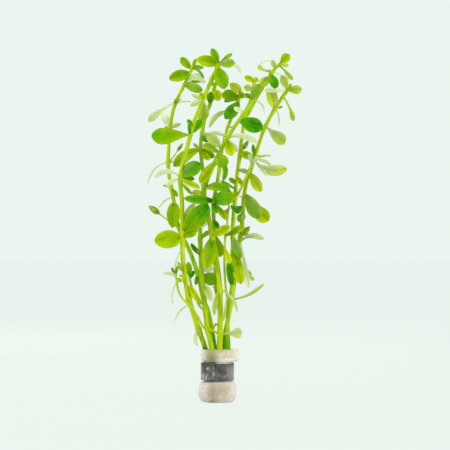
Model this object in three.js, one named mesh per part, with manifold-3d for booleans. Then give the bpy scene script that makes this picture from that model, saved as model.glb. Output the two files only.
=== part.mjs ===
// Water hyssop bunch: seven leafy stems in a rolled foam plug with a metal weight band.
// Millimetres. +Z is up, +X is right and -Y is towards the viewer.
// The origin is the centre of the plug's flat underside.

import * as THREE from "three";
import { mergeVertices } from "three/addons/utils/BufferGeometryUtils.js";
import Module from "manifold-3d";

const wasm = await Module();
wasm.setup();

// Driving dimensions of the foam plug, whose waist the band squeezes in
const PLUG_TOP = 33;
const PLUG_WAIST = 8.9;
const PLUG_PROFILE = [
  [0, 0],
  [9, 0],
  [10.4, 1],
  [11.6, 3.2],
  [12.2, 6.2],
  [12, 9.4],
  [11.1, 11.9],
  [10, 12.8],
  [PLUG_WAIST, 13],
  [PLUG_WAIST, 25.2],
  [10.6, 25.5],
  [11.8, 26.8],
  [12.1, 29.6],
  [11.8, 31.8],
  [10.9, PLUG_TOP],
  [0, PLUG_TOP],
];
const PLUG_SIDES = 24;
const ROLL_STEP = 1;
const ROLL_SEAM = THREE.MathUtils.degToRad(-95);
const TOP_LEAN = 1.5;

// Driving dimensions of the weight band, a strip that laps over itself at the front
const BAND_BASE = 13.3;
const BAND_WIDTH = 10.8;
const BAND_THICKNESS = 0.8;
const BAND_RADIUS = PLUG_WAIST + 0.3;
const BAND_TURN = THREE.MathUtils.degToRad(410);
const BAND_END = THREE.MathUtils.degToRad(-100);
const LAP_GAP = 0.3;
const LAP_TURN = THREE.MathUtils.degToRad(55);
const LAP_SLOPE = THREE.MathUtils.degToRad(50);
const BAND_RISE = 0.9;
const BAND_STEPS = 40;

// Driving dimensions that all stems and leaves share
const STEM_FOOT = 0.8;
const FOOT_REACH = 6.1;
const FOOT_BEND = 22;
const HOLE_CLEARANCE = 0.45;
const HOLE_OVERRUN = 2;
const HOLE_STEP = 4.5;
const STEM_SIDES = 6;
const STEM_STEP = 9.4;
const NODE_SWELLING = 0.22;
const NODE_REACH = 3;
const BLADE_THICKNESS = 0.75;
const LEAST_HALF_WIDTH = 0.5;
const BROAD_BLADE = 6.4;
const SLIM_BLADE = 4;
const OUTLINE_POWER = 0.5;
const CURL = [0.05, 0.17];
const FOLD = [8, 22];
const BROAD_WAVE = 0.35;
const SLIM_WAVE = 0.1;
const WAVE_TURNS = 9;

// The routes and tips below give the depths of a narrow bunch. Above the plug it fans out by this
// factor and leans back a little, to stand balanced. Both are reached at the height FAN_FULL.
const FAN = 1.7;
const FAN_FULL = 95;
const LEAN_BACK = 1.5;

// Colours, as the photograph shows them
const LEAF_GREEN = 0x7db800;
const FOAM_CREAM = 0xd9d3be;
const METAL_GREY = 0x5f5f5e;

// A leaf grows from its stem at the height root and ends at the tip x, y, z. At roll 0 its face is
// turned to the viewer, and from there roll tips the face up. bow is how far its middle stands to the
// left of the line to its tip, and widest says where along that line it is broadest.
function leaf(root, x, y, z, width, more = {}) {
  return { root, tip: [x, y, z], width, roll: 0, bow: 0, widest: 0.66, ...more };
}

// A flower bud on a stalk: bulge is its thickness and share the part of the length that it takes.
function bud(root, x, y, z, bulge, share) {
  return { root, tip: [x, y, z], bulge, share };
}

// Each stem is a route through its bends, from the top of the plug to its growing tip. nodes are the
// heights of its joints, and away are the joints whose rear leaves follow the rule in awayLeaves.
const STEMS = {
  leafy_stem_front_left: {
    radii: [1.7, 1.15],
    route: [
      [-7.8, -0.9, 33],
      [-12, -3, 45],
      [-15.4, -4.5, 55.6],
      [-18.3, -6, 65.6],
      [-20.3, -7.5, 77],
      [-21.7, -9, 90],
      [-21.9, -10, 105],
      [-22.3, -10.5, 125],
      [-23.2, -10.5, 140],
      [-20.5, -10, 153],
      [-17, -9, 167],
      [-14.2, -8, 176.3],
      [-9.6, -7, 187.5],
      [-4.9, -6, 198.8],
      [0.6, -5, 211.3],
    ],
    nodes: [45, 65, 78, 102.5, 140.5, 167, 188, 201, 210],
    away: [78, 102.5, 140.5, 167, 188, 201],
    leaves: [
      leaf(166.6, -40.7, -13, 165, 10.4, { widest: 0.72 }),
      leaf(102.5, -39, -14, 101.2, 11.3, { widest: 0.56 }),
      leaf(105, -5.8, -12, 123, 12, { roll: -12, bow: 0.5, widest: 0.6 }),
      leaf(141, -11, -13, 148.8, 9.4, { roll: 8, bow: -0.8 }),
      leaf(141.5, -17.6, -12, 149.4, 2.2),
      leaf(211, -13, -7, 213.6, 7.2, { widest: 0.56 }),
      leaf(211, -3.8, -9, 219.8, 4.8, { widest: 0.62 }),
      leaf(212, 8.7, -3, 217.6, 2.6, { widest: 0.7 }),
      leaf(210.4, 10.3, -8, 211.4, 5.6),
      leaf(210, 14.6, -3, 205, 2.2, { roll: 20, bow: 4 }),
      leaf(208.8, 4.5, -9, 195.2, 8.6, { widest: 0.6 }),
      leaf(188, -9.4, -3.6, 176, 8, { widest: 0.6 }),
      leaf(189, -11, -12, 192, 3.6),
      leaf(188, -17, -12, 184.4, 3.6),
      leaf(188, -16.3, -2, 192.2, 2.4),
      leaf(166.5, -10, -6, 176, 5),
      leaf(172, -18.6, -13, 175.4, 2.8),
      leaf(166, -17.8, -13, 173, 2.2),
      leaf(140.5, -38.8, -7, 140, 4, { roll: 20, bow: -3.2 }),
      leaf(139, -31.5, -14, 134.5, 3, { bow: -1.5 }),
      leaf(138.5, -11.3, -14, 133.4, 4, { roll: 25 }),
      leaf(137.5, -16, -12, 129.5, 2.4),
      leaf(140, -14.5, -7, 139.2, 3),
      leaf(111, -14.2, -8, 123.8, 3.6, { bow: 1.2 }),
      leaf(104, -12.6, -13.5, 107.6, 3.8),
      leaf(102.8, -13.6, -16, 105, 2.6),
      leaf(97, -26.9, -12, 82.5, 1.4, { bow: -1 }),
      leaf(61.5, -27.2, -9, 50.8, 1.4, { bow: -1.8 }),
      leaf(46, -13, -9, 35.8, 2.6, { bow: -1.6 }),
    ],
    buds: [bud(78.5, -24.4, -12, 87.5, 3, 0.55)],
  },
  leafy_stem_back_left: {
    radii: [1.55, 1],
    route: [
      [-2.2, 1.6, 33],
      [-5, 3, 51.3],
      [-9.4, 4.5, 65],
      [-12.5, 6, 78.8],
      [-17.2, 7, 92.5],
      [-21.9, 7.5, 102.5],
      [-26, 8.5, 113],
      [-28.2, 9, 127],
      [-30.7, 9.5, 140],
      [-31.6, 9.5, 152],
      [-30.4, 9, 170],
      [-28.6, 8, 182],
      [-25.2, 7, 191.3],
      [-20.8, 6.5, 200],
      [-15.6, 6, 211.3],
    ],
    nodes: [58, 80, 108, 134, 150, 172, 188, 199, 209],
    away: [80, 108, 134, 150, 172, 188],
    leaves: [
      leaf(124.5, -28.4, 3, 108.8, 9, { widest: 0.52 }),
      leaf(206.5, -30.6, 3, 202.6, 7.4, { widest: 0.55 }),
      leaf(199.2, -9.8, 3, 195, 5.8, { widest: 0.6 }),
      leaf(202, -8.4, 10, 200.4, 5.2, { roll: 20, bow: 2.9, widest: 0.5 }),
      leaf(200, -10, 12, 202.4, 2.6, { widest: 0.75 }),
      leaf(208.8, -23.6, 5, 215.8, 5, { widest: 0.62 }),
      leaf(210, -13.7, 4, 215, 2.6),
      leaf(210, -9.3, 4, 209.6, 3.2, { widest: 0.45 }),
      leaf(209.5, -9, 9, 203.4, 1.6, { bow: 1.5 }),
      leaf(188.5, -43.8, 4, 176, 4.8, { bow: -0.9, widest: 0.82 }),
      leaf(172.5, -35.6, 11, 181.6, 5.4),
      leaf(187.5, -17.5, 8, 188.8, 1.6, { roll: 60 }),
      leaf(172, -23.8, 6, 174.4, 2.8),
      leaf(150.5, -44.2, 6, 136.5, 1.6, { bow: -3.4 }),
      leaf(134, -25.5, 5, 128.8, 2.8),
      leaf(128, -37, 7, 121.5, 1.4, { bow: -1.6 }),
      leaf(80, -13.8, 2, 73.4, 2.6),
    ],
    buds: [bud(108, -43.8, 9, 122.8, 4.2, 0.34), bud(149, -22.4, 6.5, 162, 2.4, 0.34)],
  },
  leafy_stem_centre_left: {
    radii: [1.7, 1],
    route: [
      [-3.9, -5.4, 33],
      [-6.3, -4.6, 45],
      [-7.8, -4, 57.5],
      [-9.1, -3, 70],
      [-10.4, -1.5, 83],
      [-11, 0, 97],
      [-11.2, 1, 110],
      [-10, 2, 126],
      [-9.1, 2.5, 139],
      [-10.5, 2, 153],
      [-10.7, 1.5, 164],
      [-8.1, 1, 177.5],
      [-5, 0.5, 186.5],
      [-1.9, 0, 198],
    ],
    nodes: [45.5, 57, 78, 102, 131, 158, 169, 186, 196],
    away: [78, 102, 131, 158],
    leaves: [
      leaf(158, -27.3, -1, 147.2, 7.4, { bow: -1.8, widest: 0.62 }),
      leaf(169, -6.4, -4, 162.4, 5.2),
      leaf(158, -2.4, -1.5, 153, 4.5),
      leaf(157, -5.6, -5, 151.3, 4),
      leaf(157, -15, -4, 161.3, 2),
      leaf(88, -2, -3, 85, 3, { bow: -4.4 }),
      leaf(91, -16.8, -5, 98.8, 2.8),
      leaf(186.5, -4.4, -4, 193.4, 5),
      leaf(196, 0.8, -3, 188.4, 6.2),
      leaf(197, 0.5, 3, 202.4, 3),
      leaf(197, -5, 4, 201.4, 2.8),
      leaf(78, 1, -1.5, 76, 8.2, { widest: 0.5 }),
      leaf(73.5, -4.4, -8, 63.8, 5, { bow: 1 }),
      leaf(102, -5.2, -3, 107, 3),
      leaf(108.5, -7, -3.4, 112.8, 3),
      leaf(131, -16.2, -3, 130.8, 3.8),
      leaf(60, -17.4, -8, 73, 4, { bow: 1.2 }),
    ],
    buds: [bud(90, -14.4, -3, 96.8, 3, 0.6)],
    shoots: [
      {
        radii: [0.8, 0.6],
        route: [
          [-6.5, -4.7, 45.5],
          [-9.4, -6.6, 47.5],
          [-11.9, -8, 52.5],
          [-15, -8.6, 57.5],
          [-18.1, -9, 61.3],
          [-21.3, -9, 64.4],
          [-23.8, -8.8, 68.1],
          [-25, -8.5, 72],
          [-25.6, -8.2, 76.3],
          [-26.3, -8, 80.6],
        ],
        nodes: [76.5],
        leaves: [
          leaf(75, -28, -9, 62, 1.2, { bow: -1.6 }),
          leaf(78, -33.8, -9, 80.6, 2.2, { bow: -1.2 }),
          leaf(79.5, -25.8, -5, 85, 2.4),
          leaf(80, -28.6, -8, 84, 2.2),
          leaf(77, -21.8, -12, 76, 3.2),
        ],
      },
      {
        radii: [0.8, 0.6],
        route: [
          [-8, -4, 57],
          [-11.3, -4.6, 60],
          [-13.1, -4.6, 63.8],
          [-15, -4.4, 68.8],
          [-16.9, -3.6, 73.8],
          [-17.5, -3, 78],
        ],
        nodes: [77],
        leaves: [leaf(77, -18.6, -4, 87.5, 4), leaf(77, -15, 0, 82, 2.4)],
      },
    ],
  },
  leafy_stem_centre: {
    radii: [1.75, 1.1],
    route: [
      [1.1, -4.4, 33],
      [1.4, -4.8, 45],
      [1.6, -5.4, 58],
      [1, -6, 73],
      [-0.8, -6.6, 88.8],
      [-3.9, -6.9, 105],
      [-6.5, -6.8, 119],
      [-8.6, -6.8, 131],
      [-5.8, -7, 141],
      [-1.8, -7.2, 149.5],
      [4, -6.6, 161.3],
      [9.8, -5.8, 171],
      [17.9, -5, 182.5],
      [21.2, -4.4, 190.6],
      [22.6, -4, 199.4],
    ],
    nodes: [42.5, 70, 103, 134, 152.5, 165, 180, 190],
    away: [134, 165],
    leaves: [
      leaf(134.5, 7.2, -15, 131.6, 8, { roll: 50, widest: 0.5 }),
      leaf(175.6, 27.6, -7, 170.7, 9.6, { widest: 0.62 }),
      leaf(165.5, 24.8, -8, 161.6, 4, { roll: 20, bow: 1.7 }),
      leaf(164, 8.6, -10, 153.6, 6.4),
      leaf(153, 5.2, -16, 146.8, 8),
      leaf(152, 3.2, -11, 138, 3.4, { bow: 3.5 }),
      leaf(158, -6.8, -13, 167.2, 6.3),
      leaf(155.5, -9.2, -11, 160, 5.2, { roll: 30 }),
      leaf(165.5, -5, -5, 168, 4, { roll: 60 }),
      leaf(151, -11.2, -10, 136.6, 6.4),
      leaf(164, 12, -3, 156.4, 3.8),
      leaf(103, -7, -11, 84, 9.4, { widest: 0.58 }),
      leaf(104, 7.2, -12, 110.2, 5.6, { bow: -0.6 }),
      leaf(71, -2.4, -10, 54.6, 3.2, { bow: -1 }),
      leaf(70.5, 11.9, -9, 56.5, 2, { bow: 2.8 }),
      leaf(42.5, 14.8, -8, 43.8, 6.8, { widest: 0.85 }),
      leaf(42.5, -8, -9, 47.5, 1.6),
      leaf(47, -2.6, -7, 46.2, 1.4, { bow: -2.6 }),
      leaf(199, 16.6, -5, 202.4, 4, { bow: -0.8, widest: 0.62 }),
      leaf(199, 25, -2, 202, 3.6, { bow: 0.8 }),
      leaf(195, 16.2, -7, 196.4, 4.4),
      leaf(188, 25.8, -9, 198, 6.2),
      leaf(190, 16.4, -7, 191.6, 3.4),
      leaf(180.5, 10, -8, 183.2, 3),
    ],
    buds: [],
  },
  leafy_stem_centre_back: {
    radii: [1.6, 1],
    route: [
      [0.6, 6, 33],
      [1, 6.5, 46],
      [1.2, 6.8, 56],
      [0, 7, 65],
      [-1.4, 6.6, 76],
      [-1.7, 5.4, 88],
      [-2.3, 0.4, 104],
      [-2.6, -4.2, 114],
      [-2.8, -7.4, 124],
      [-0.8, -5, 135],
      [0.9, -1.5, 146],
      [2.5, 3, 158],
      [6, 7, 172],
      [10.2, 8, 182.5],
      [13, 8.5, 190],
      [14.4, 9, 195.5],
    ],
    nodes: [70, 105, 125.5, 146, 182, 190, 195],
    away: [70, 146, 158, 172],
    leaves: [
      leaf(125.6, -20.6, -16.5, 127, 5.6, { widest: 0.55 }),
      leaf(125, 5.6, -11, 113.8, 3.8),
      leaf(124.5, -0.6, -14, 118, 4),
      leaf(114, 0.5, -9, 108, 3.2),
      leaf(105, 2, -2, 91, 6.6),
      leaf(189.5, 4.2, 2, 177.8, 8.2, { bow: 1.5 }),
      leaf(195, 7.6, 4, 199.4, 6, { widest: 0.5 }),
      leaf(191.5, 2.5, 5, 192.8, 7.4),
      leaf(190, 3.8, 10, 189, 4, { roll: 50 }),
      leaf(192, 16.6, 5, 192.6, 4),
      leaf(182, -5.6, 5, 172, 3.4, { roll: 20, bow: -3.4 }),
    ],
    buds: [],
  },
  leafy_stem_right_front: {
    radii: [1.65, 1],
    route: [
      [6.3, -3, 33],
      [5.9, -3.2, 47],
      [7.1, -3.8, 60.6],
      [9, -4.4, 73],
      [9.4, -4.6, 90],
      [9.4, -4, 110],
      [10.6, -2.5, 126.3],
      [11.6, -1, 139],
      [13.2, 0.5, 151],
      [14.9, 1.5, 165],
      [16.9, 2, 176.3],
      [22.6, 1.5, 187.5],
      [27.8, 1, 197],
      [33.8, 0.5, 206.3],
      [39.4, 0, 212.5],
    ],
    nodes: [64, 92, 104, 128, 155, 182, 196, 206],
    away: [128, 176, 206],
    leaves: [
      leaf(128.8, -2.5, -11, 126, 9.4, { widest: 0.55 }),
      leaf(122, 12.2, -13, 117.8, 7.4, { widest: 0.6 }),
      leaf(104, 13.8, -9, 90, 5),
      leaf(100, 14.2, -9, 74.2, 7.4, { widest: 0.75 }),
      leaf(72, 6.6, -10, 89, 5, { widest: 0.55 }),
      leaf(188.5, 29.4, -2, 179, 1.4, { bow: 2.4 }),
      leaf(212, 44.4, -3, 217, 5.8),
      leaf(211.3, 44.2, 3, 210.8, 2.8, { widest: 0.7 }),
      leaf(211, 46.4, -3, 201.3, 3, { bow: 0.2, widest: 0.82 }),
      leaf(208.5, 33.8, -4, 213.2, 3.2),
      leaf(206.5, 25, -3, 210, 3.2, { bow: 1.3, widest: 0.88 }),
      leaf(209, 26, 4, 211, 1.3, { bow: -5 }),
      leaf(203, 26.6, -4, 197.4, 6),
      leaf(205.5, 35.4, -6, 195.6, 6.4, { roll: 20 }),
      leaf(206, 41, 5, 204, 1.2, { bow: 1 }),
      leaf(145.4, 19, -4, 143.6, 3),
      leaf(136, 7.3, -4, 139.8, 3),
      leaf(141, 15.6, -6, 135, 3),
      leaf(133, 1.8, -8.6, 138, 2),
      leaf(64, 28.8, -4, 74.3, 2.2, { roll: 20, bow: -2.4, widest: 0.72 }),
    ],
    buds: [bud(155, 18.8, -2, 163, 3, 0.6)],
    shoots: [
      {
        radii: [0.85, 0.6],
        route: [
          [11, -2.3, 127.5],
          [13.8, -3.4, 132],
          [15.6, -4, 136.3],
          [17.5, -4.2, 140.6],
          [19.4, -4.2, 145],
          [21.5, -4, 149],
        ],
        nodes: [145],
        leaves: [leaf(148.5, 19.5, -9, 154, 2.4), leaf(148.5, 25, -8, 152.5, 2.4)],
      },
      {
        radii: [0.85, 0.6],
        route: [
          [7, -3.8, 60.5],
          [5.6, -5, 67],
          [4.6, -6.2, 74],
          [4, -6.6, 86],
          [4.4, -6.6, 101],
          [5.6, -5.6, 110.6],
          [6.9, -4.6, 123],
        ],
        nodes: [103.8],
        leaves: [
          leaf(103.8, 16.3, -10.5, 110, 4.6),
          leaf(97, 7.4, -13.5, 87, 4, { widest: 0.75 }),
          leaf(121, 2.4, -8, 116, 3),
          leaf(66, 3.4, -8, 51, 1.6),
        ],
      },
    ],
  },
  leafy_stem_right: {
    radii: [1.55, 1.1],
    route: [
      [3.8, 2, 33],
      [5, 2.6, 45],
      [6.9, 3.4, 54.4],
      [9.2, 4, 68],
      [11.3, 4.6, 82.5],
      [13.2, 5, 98],
      [15, 5.2, 110.6],
      [16.3, 5, 128],
      [18.4, 4.6, 139],
      [21.3, 4, 148],
      [24.4, 3.6, 157.5],
      [28.1, 3.2, 168.8],
      [32.5, 2.8, 178],
      [38.1, 2.4, 187.5],
      [43.8, 2, 195.6],
    ],
    nodes: [64, 86, 103, 127.5, 143.5, 152.5, 172.5, 184, 195],
    away: [64, 103, 127.5, 152.5, 172.5, 184],
    leaves: [
      leaf(127.5, 31.6, 3, 113, 9.2, { widest: 0.75 }),
      leaf(131, 25.6, -3.5, 114.8, 8.8),
      leaf(172.5, 41.9, 0, 162, 7.6, { widest: 0.76 }),
      leaf(152, 43, 0, 146.4, 7, { bow: -4.6, widest: 0.74 }),
      leaf(143.8, 26.8, 0, 131.6, 6.6),
      leaf(152.5, 13.8, -5, 155.6, 5),
      leaf(153, 21.8, 0, 161, 2.4),
      leaf(152.5, 33.1, 6, 154.5, 2.4, { roll: 60 }),
      leaf(151.5, 33.4, 6, 147.8, 2, { bow: 1.6 }),
      leaf(152, 30.6, -3, 141.4, 1.8),
      leaf(195.2, 52.5, 1, 195.6, 5.8),
      leaf(195.2, 39.9, -2, 204.2, 5),
      leaf(194.5, 29.2, -3, 194.4, 3.4, { bow: -0.6 }),
      leaf(195.4, 46, 5, 199.5, 2.2),
      leaf(191.5, 47.3, 0, 175.8, 3.2, { bow: 0.8, widest: 0.85 }),
      leaf(183.5, 32.5, 0, 196.2, 7.2, { widest: 0.6 }),
      leaf(184, 37.9, 4, 173, 1.4, { bow: 1.2 }),
      leaf(99.4, 28.8, 2, 101.6, 3.6, { roll: 20, bow: 3.2, widest: 0.72 }),
      leaf(102, 19.4, 1, 71.5, 4.2, { bow: -0.8 }),
      leaf(86, 21, 6, 79.2, 3, { widest: 0.8 }),
      leaf(85, 22.8, 6, 75.8, 2.6, { widest: 0.85 }),
      leaf(118, 13.9, -5, 112.5, 5.4),
    ],
    buds: [bud(103, 19.9, 1, 109.6, 4.2, 0.8)],
  },
};

// Rear leaves: each points away from the viewer, a little up, and is swung left and right in turn.
const AWAY_LENGTH = [8, 13];
const AWAY_WIDTH = [3.8, 6];
const AWAY_SWING = [4, 20];
const AWAY_RISE = [0, 14];

// The same number from 0 to 1 each time for the same seed
function draw(seed) {
  const s = Math.sin(seed * 12.9898) * 43758.5453;
  return s - Math.floor(s);
}

// Solids: closed geometry in, closed geometry out
function solidOf(geometry) {
  const bare = geometry.clone();
  bare.deleteAttribute("normal");
  bare.deleteAttribute("uv");
  const merged = mergeVertices(bare, 1e-4);
  return new wasm.Manifold(
    new wasm.Mesh({
      numProp: 3,
      vertProperties: new Float32Array(merged.attributes.position.array),
      triVerts: new Uint32Array(merged.index.array),
    }),
  );
}

function geometryOf(solid) {
  const mesh = solid.getMesh();
  const geometry = new THREE.BufferGeometry();
  geometry.setAttribute("position", new THREE.BufferAttribute(mesh.vertProperties, 3));
  geometry.setIndex(new THREE.BufferAttribute(mesh.triVerts, 1));
  geometry.computeVertexNormals();
  return geometry;
}

// A new place for every vertex of a geometry
function reshape(geometry, placeOf) {
  const position = geometry.attributes.position;
  const vertex = new THREE.Vector3();
  for (let i = 0; i < position.count; i++) {
    vertex.copy(placeOf(vertex.fromBufferAttribute(position, i)));
    position.setXYZ(i, vertex.x, vertex.y, vertex.z);
  }
  return geometry;
}

// A cylinder bent along a curve, with its own radius at each share of the way
function bentRod(curve, radiusAt, sides, steps) {
  const middle = curve.getTangent(0.5);
  const fixed = Math.abs(middle.x) < 0.8 ? new THREE.Vector3(1, 0, 0) : new THREE.Vector3(0, 1, 0);
  return reshape(new THREE.CylinderGeometry(1, 1, 1, sides, steps), (v) => {
    const share = v.y + 0.5;
    const along = curve.getTangent(share);
    const across = fixed.clone().addScaledVector(along, -along.dot(fixed)).normalize();
    const third = across.clone().cross(along);
    const radius = radiusAt(share);
    return curve.getPoint(share).addScaledVector(across, v.x * radius).addScaledVector(third, v.z * radius);
  });
}

// A place of the lists above, with the depth that the fanned bunch gives it
function place([x, y, z]) {
  const share = THREE.MathUtils.smoothstep(z, PLUG_TOP, FAN_FULL);
  return new THREE.Vector3(x, y * THREE.MathUtils.lerp(1, FAN, share) + LEAN_BACK * share, z);
}

// Stems and side shoots
function stemCurve(route) {
  const points = route.map(place);
  return new THREE.CatmullRomCurve3(points, false, "catmullrom", 0.5);
}

// The lower part of a stem's way in the plug: straight, and near enough to the axis that foam stays
// all round it
function footOf(route, lowest) {
  const [x, y] = route[0];
  const pull = Math.min(1, FOOT_REACH / Math.hypot(x, y));
  return [lowest, FOOT_BEND].map((z) => [x * pull, y * pull, z]);
}

// The whole way of a stem that stands in the plug
function rootedRoute(route) {
  return [...footOf(route, STEM_FOOT), ...route];
}

// The share of a rising curve at which it reaches a height
function shareAt(curve, height) {
  let low = 0;
  let high = 1;
  for (let i = 0; i < 30; i++) {
    const middle = (low + high) / 2;
    if (curve.getPoint(middle).z < height) low = middle;
    else high = middle;
  }
  return (low + high) / 2;
}

// A stem tapers to its tip and swells at its joints.
function stemRadius(spec, curve, extra = 0) {
  const [foot, tip] = spec.radii;
  return (share) => {
    const height = curve.getPoint(share).z;
    const swelling = spec.nodes.reduce(
      (sum, node) => sum + Math.exp(-(((height - node) / NODE_REACH) ** 2)),
      0,
    );
    return (foot + (tip - foot) * share) * (1 + NODE_SWELLING * Math.min(swelling, 1)) + extra;
  };
}

function stemRod(spec, curve, extra = 0, step = STEM_STEP) {
  const rise = curve.getPoint(1).z - curve.getPoint(0).z;
  const steps = Math.round(rise / step) + 2;
  return solidOf(bentRod(curve, stemRadius(spec, curve, extra), STEM_SIDES, steps));
}

// Leaves: a blade's outline widens from its narrow foot and closes in a round tip.
function halfWidth(spec, share) {
  const power = Math.log(0.5) / Math.log(spec.widest);
  const outline = Math.sin(Math.PI * Math.min(share, 1) ** power);
  return Math.max((spec.width / 2) * Math.max(outline, 0) ** OUTLINE_POWER, LEAST_HALF_WIDTH);
}

// The way a blade's upper face looks: to the viewer or, on a leaf that points there, up
function faceOf(along, roll) {
  const face = new THREE.Vector3(0, -1, 0);
  face.addScaledVector(along, -along.dot(face));
  if (face.length() < 0.35) face.set(0, 0, 1).addScaledVector(along, -along.z);
  const turn = THREE.MathUtils.degToRad(along.x > 0 ? -roll : roll);
  return face.normalize().applyAxisAngle(along, turn);
}

// Two like sheets, one on each side of a middle one, joined by a rim
function thickened(sheet, columns, rows, normals) {
  const count = sheet.attributes.position.count;
  const half = BLADE_THICKNESS / 2;
  const places = [];
  for (const side of [half, -half]) {
    for (let i = 0; i < count; i++) {
      const place = new THREE.Vector3().fromBufferAttribute(sheet.attributes.position, i);
      places.push(...place.addScaledVector(normals[i], side));
    }
  }
  const faces = [...sheet.index.array];
  for (let i = 0; i < sheet.index.count; i += 3) {
    const [a, b, c] = sheet.index.array.slice(i, i + 3);
    faces.push(count + a, count + c, count + b);
  }
  const at = (column, row) => row * (columns + 1) + column;
  const rim = [];
  for (let i = 0; i < columns; i++) rim.push(at(i, rows));
  for (let j = rows; j > 0; j--) rim.push(at(columns, j));
  for (let i = columns; i > 0; i--) rim.push(at(i, 0));
  for (let j = 0; j < rows; j++) rim.push(at(0, j));
  rim.forEach((a, i) => {
    const b = rim[(i + 1) % rim.length];
    faces.push(count + a, count + b, b, count + a, b, a);
  });
  const closed = new THREE.BufferGeometry();
  closed.setAttribute("position", new THREE.Float32BufferAttribute(places, 3));
  closed.setIndex(faces);
  return closed;
}

function bladeSolid(base, tip, spec) {
  const length = tip.distanceTo(base);
  const along = tip.clone().sub(base).normalize();
  const face = faceOf(along, spec.roll);
  const left = new THREE.Vector3(-along.z, 0, along.x);
  const seed = spec.root + 3 * tip.x + 7 * tip.z;
  const curl = length * THREE.MathUtils.lerp(...CURL, draw(seed));
  const fold = THREE.MathUtils.degToRad(THREE.MathUtils.lerp(...FOLD, draw(seed + 1)));
  const wave = spec.width > BROAD_BLADE ? BROAD_WAVE : SLIM_WAVE;
  const phase = 2 * Math.PI * draw(seed + 2);
  const middle = base.clone().lerp(tip, 0.5).addScaledVector(left, 2 * spec.bow);
  const rib = new THREE.QuadraticBezierCurve3(base, middle.addScaledVector(face, curl), tip);
  const columns = spec.width > SLIM_BLADE ? 2 : 1;
  const rows = spec.width > BROAD_BLADE ? 5 : columns + 2;
  const sheet = new THREE.PlaneGeometry(1, 1, columns, rows);
  const normals = [];
  reshape(sheet, (v) => {
    const share = 1 - (0.5 - v.y) ** 1.3;
    const across = 2 * v.x;
    const direction = rib.getTangent(share);
    const side = direction.clone().cross(face).normalize();
    const normal = side.clone().cross(direction);
    const half = halfWidth(spec, share);
    const ripple = wave * Math.sin(WAVE_TURNS * share + phase + across);
    const lift = Math.abs(across) * (half * Math.sin(fold) + ripple);
    normals.push(normal);
    return rib
      .getPoint(share)
      .addScaledVector(side, across * half * Math.cos(fold))
      .addScaledVector(normal, lift);
  });
  return solidOf(thickened(sheet, columns, rows, normals));
}

function awayLeaves(spec, curve) {
  return spec.away.map((root, i) => {
    const base = curve.getPoint(shareAt(curve, root));
    const chance = draw(root + base.x);
    const swing = THREE.MathUtils.degToRad(THREE.MathUtils.lerp(...AWAY_SWING, chance));
    const rise = THREE.MathUtils.degToRad(THREE.MathUtils.lerp(...AWAY_RISE, draw(root + base.y)));
    const length = THREE.MathUtils.lerp(...AWAY_LENGTH, chance);
    const width = THREE.MathUtils.lerp(...AWAY_WIDTH, chance);
    const way = new THREE.Vector3(0, Math.cos(rise), Math.sin(rise));
    way.applyAxisAngle(new THREE.Vector3(0, 0, 1), i % 2 ? -swing : swing);
    const tip = base.clone().addScaledVector(way, length);
    return bladeSolid(base, tip, leaf(root, ...tip, width));
  });
}

// Buds: a thin stalk that swells into a pointed bud
const STALK_RADIUS = 0.45;
const BUD_STEPS = 6;

function budSolid(base, tip, spec) {
  const swell = spec.bulge / 2 - STALK_RADIUS;
  const radiusAt = (share) => {
    const way = Math.max(0, (share - 1 + spec.share) / spec.share);
    return STALK_RADIUS + swell * Math.sin(Math.PI * way ** 0.8);
  };
  return solidOf(bentRod(new THREE.LineCurve3(base, tip), radiusAt, STEM_SIDES, BUD_STEPS));
}

function leafyStem(spec, rooted) {
  const curve = stemCurve(rooted ? rootedRoute(spec.route) : spec.route);
  const rootOf = (one) => curve.getPoint(shareAt(curve, one.root));
  const pieces = [
    ...spec.leaves.map((one) => bladeSolid(rootOf(one), place(one.tip), one)),
    ...(spec.buds ?? []).map((one) => budSolid(rootOf(one), place(one.tip), one)),
    ...(spec.shoots ?? []).map((shoot) => leafyStem(shoot, false)),
    ...(rooted ? awayLeaves(spec, curve) : []),
  ];
  return pieces.reduce((whole, piece) => whole.add(piece), stemRod(spec, curve));
}

// The foam plug: a strip rolled up, so that its radius grows round the turn and steps at the seam
function plugBody() {
  const profile = PLUG_PROFILE.map(([r, z]) => new THREE.Vector2(r, z));
  const body = new THREE.LatheGeometry(profile, PLUG_SIDES).rotateX(Math.PI / 2);
  return solidOf(
    reshape(body, (v) => {
      const radius = Math.hypot(v.x, v.y);
      if (radius < 0.01) return v.set(0, 0, v.z);
      const turn = (Math.atan2(v.y, v.x) - ROLL_SEAM) / (2 * Math.PI);
      const loose = THREE.MathUtils.clamp((radius - PLUG_WAIST) / 2, 0, 1);
      const grown = radius + ROLL_STEP * loose * (turn - Math.floor(turn) - 0.5);
      const lean = v.z > PLUG_TOP / 2 ? TOP_LEAN * loose : 0;
      return v.set((v.x / radius) * grown + lean, (v.y / radius) * grown, v.z);
    }),
  );
}

function foamPlug() {
  let solid = plugBody();
  for (const spec of Object.values(STEMS)) {
    const way = [...footOf(spec.route, -HOLE_OVERRUN), ...spec.route.slice(0, 2)];
    const hole = { radii: [spec.radii[0], spec.radii[0]], nodes: [] };
    solid = solid.subtract(stemRod(hole, stemCurve(way), HOLE_CLEARANCE, HOLE_STEP));
  }
  return solid;
}

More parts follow.
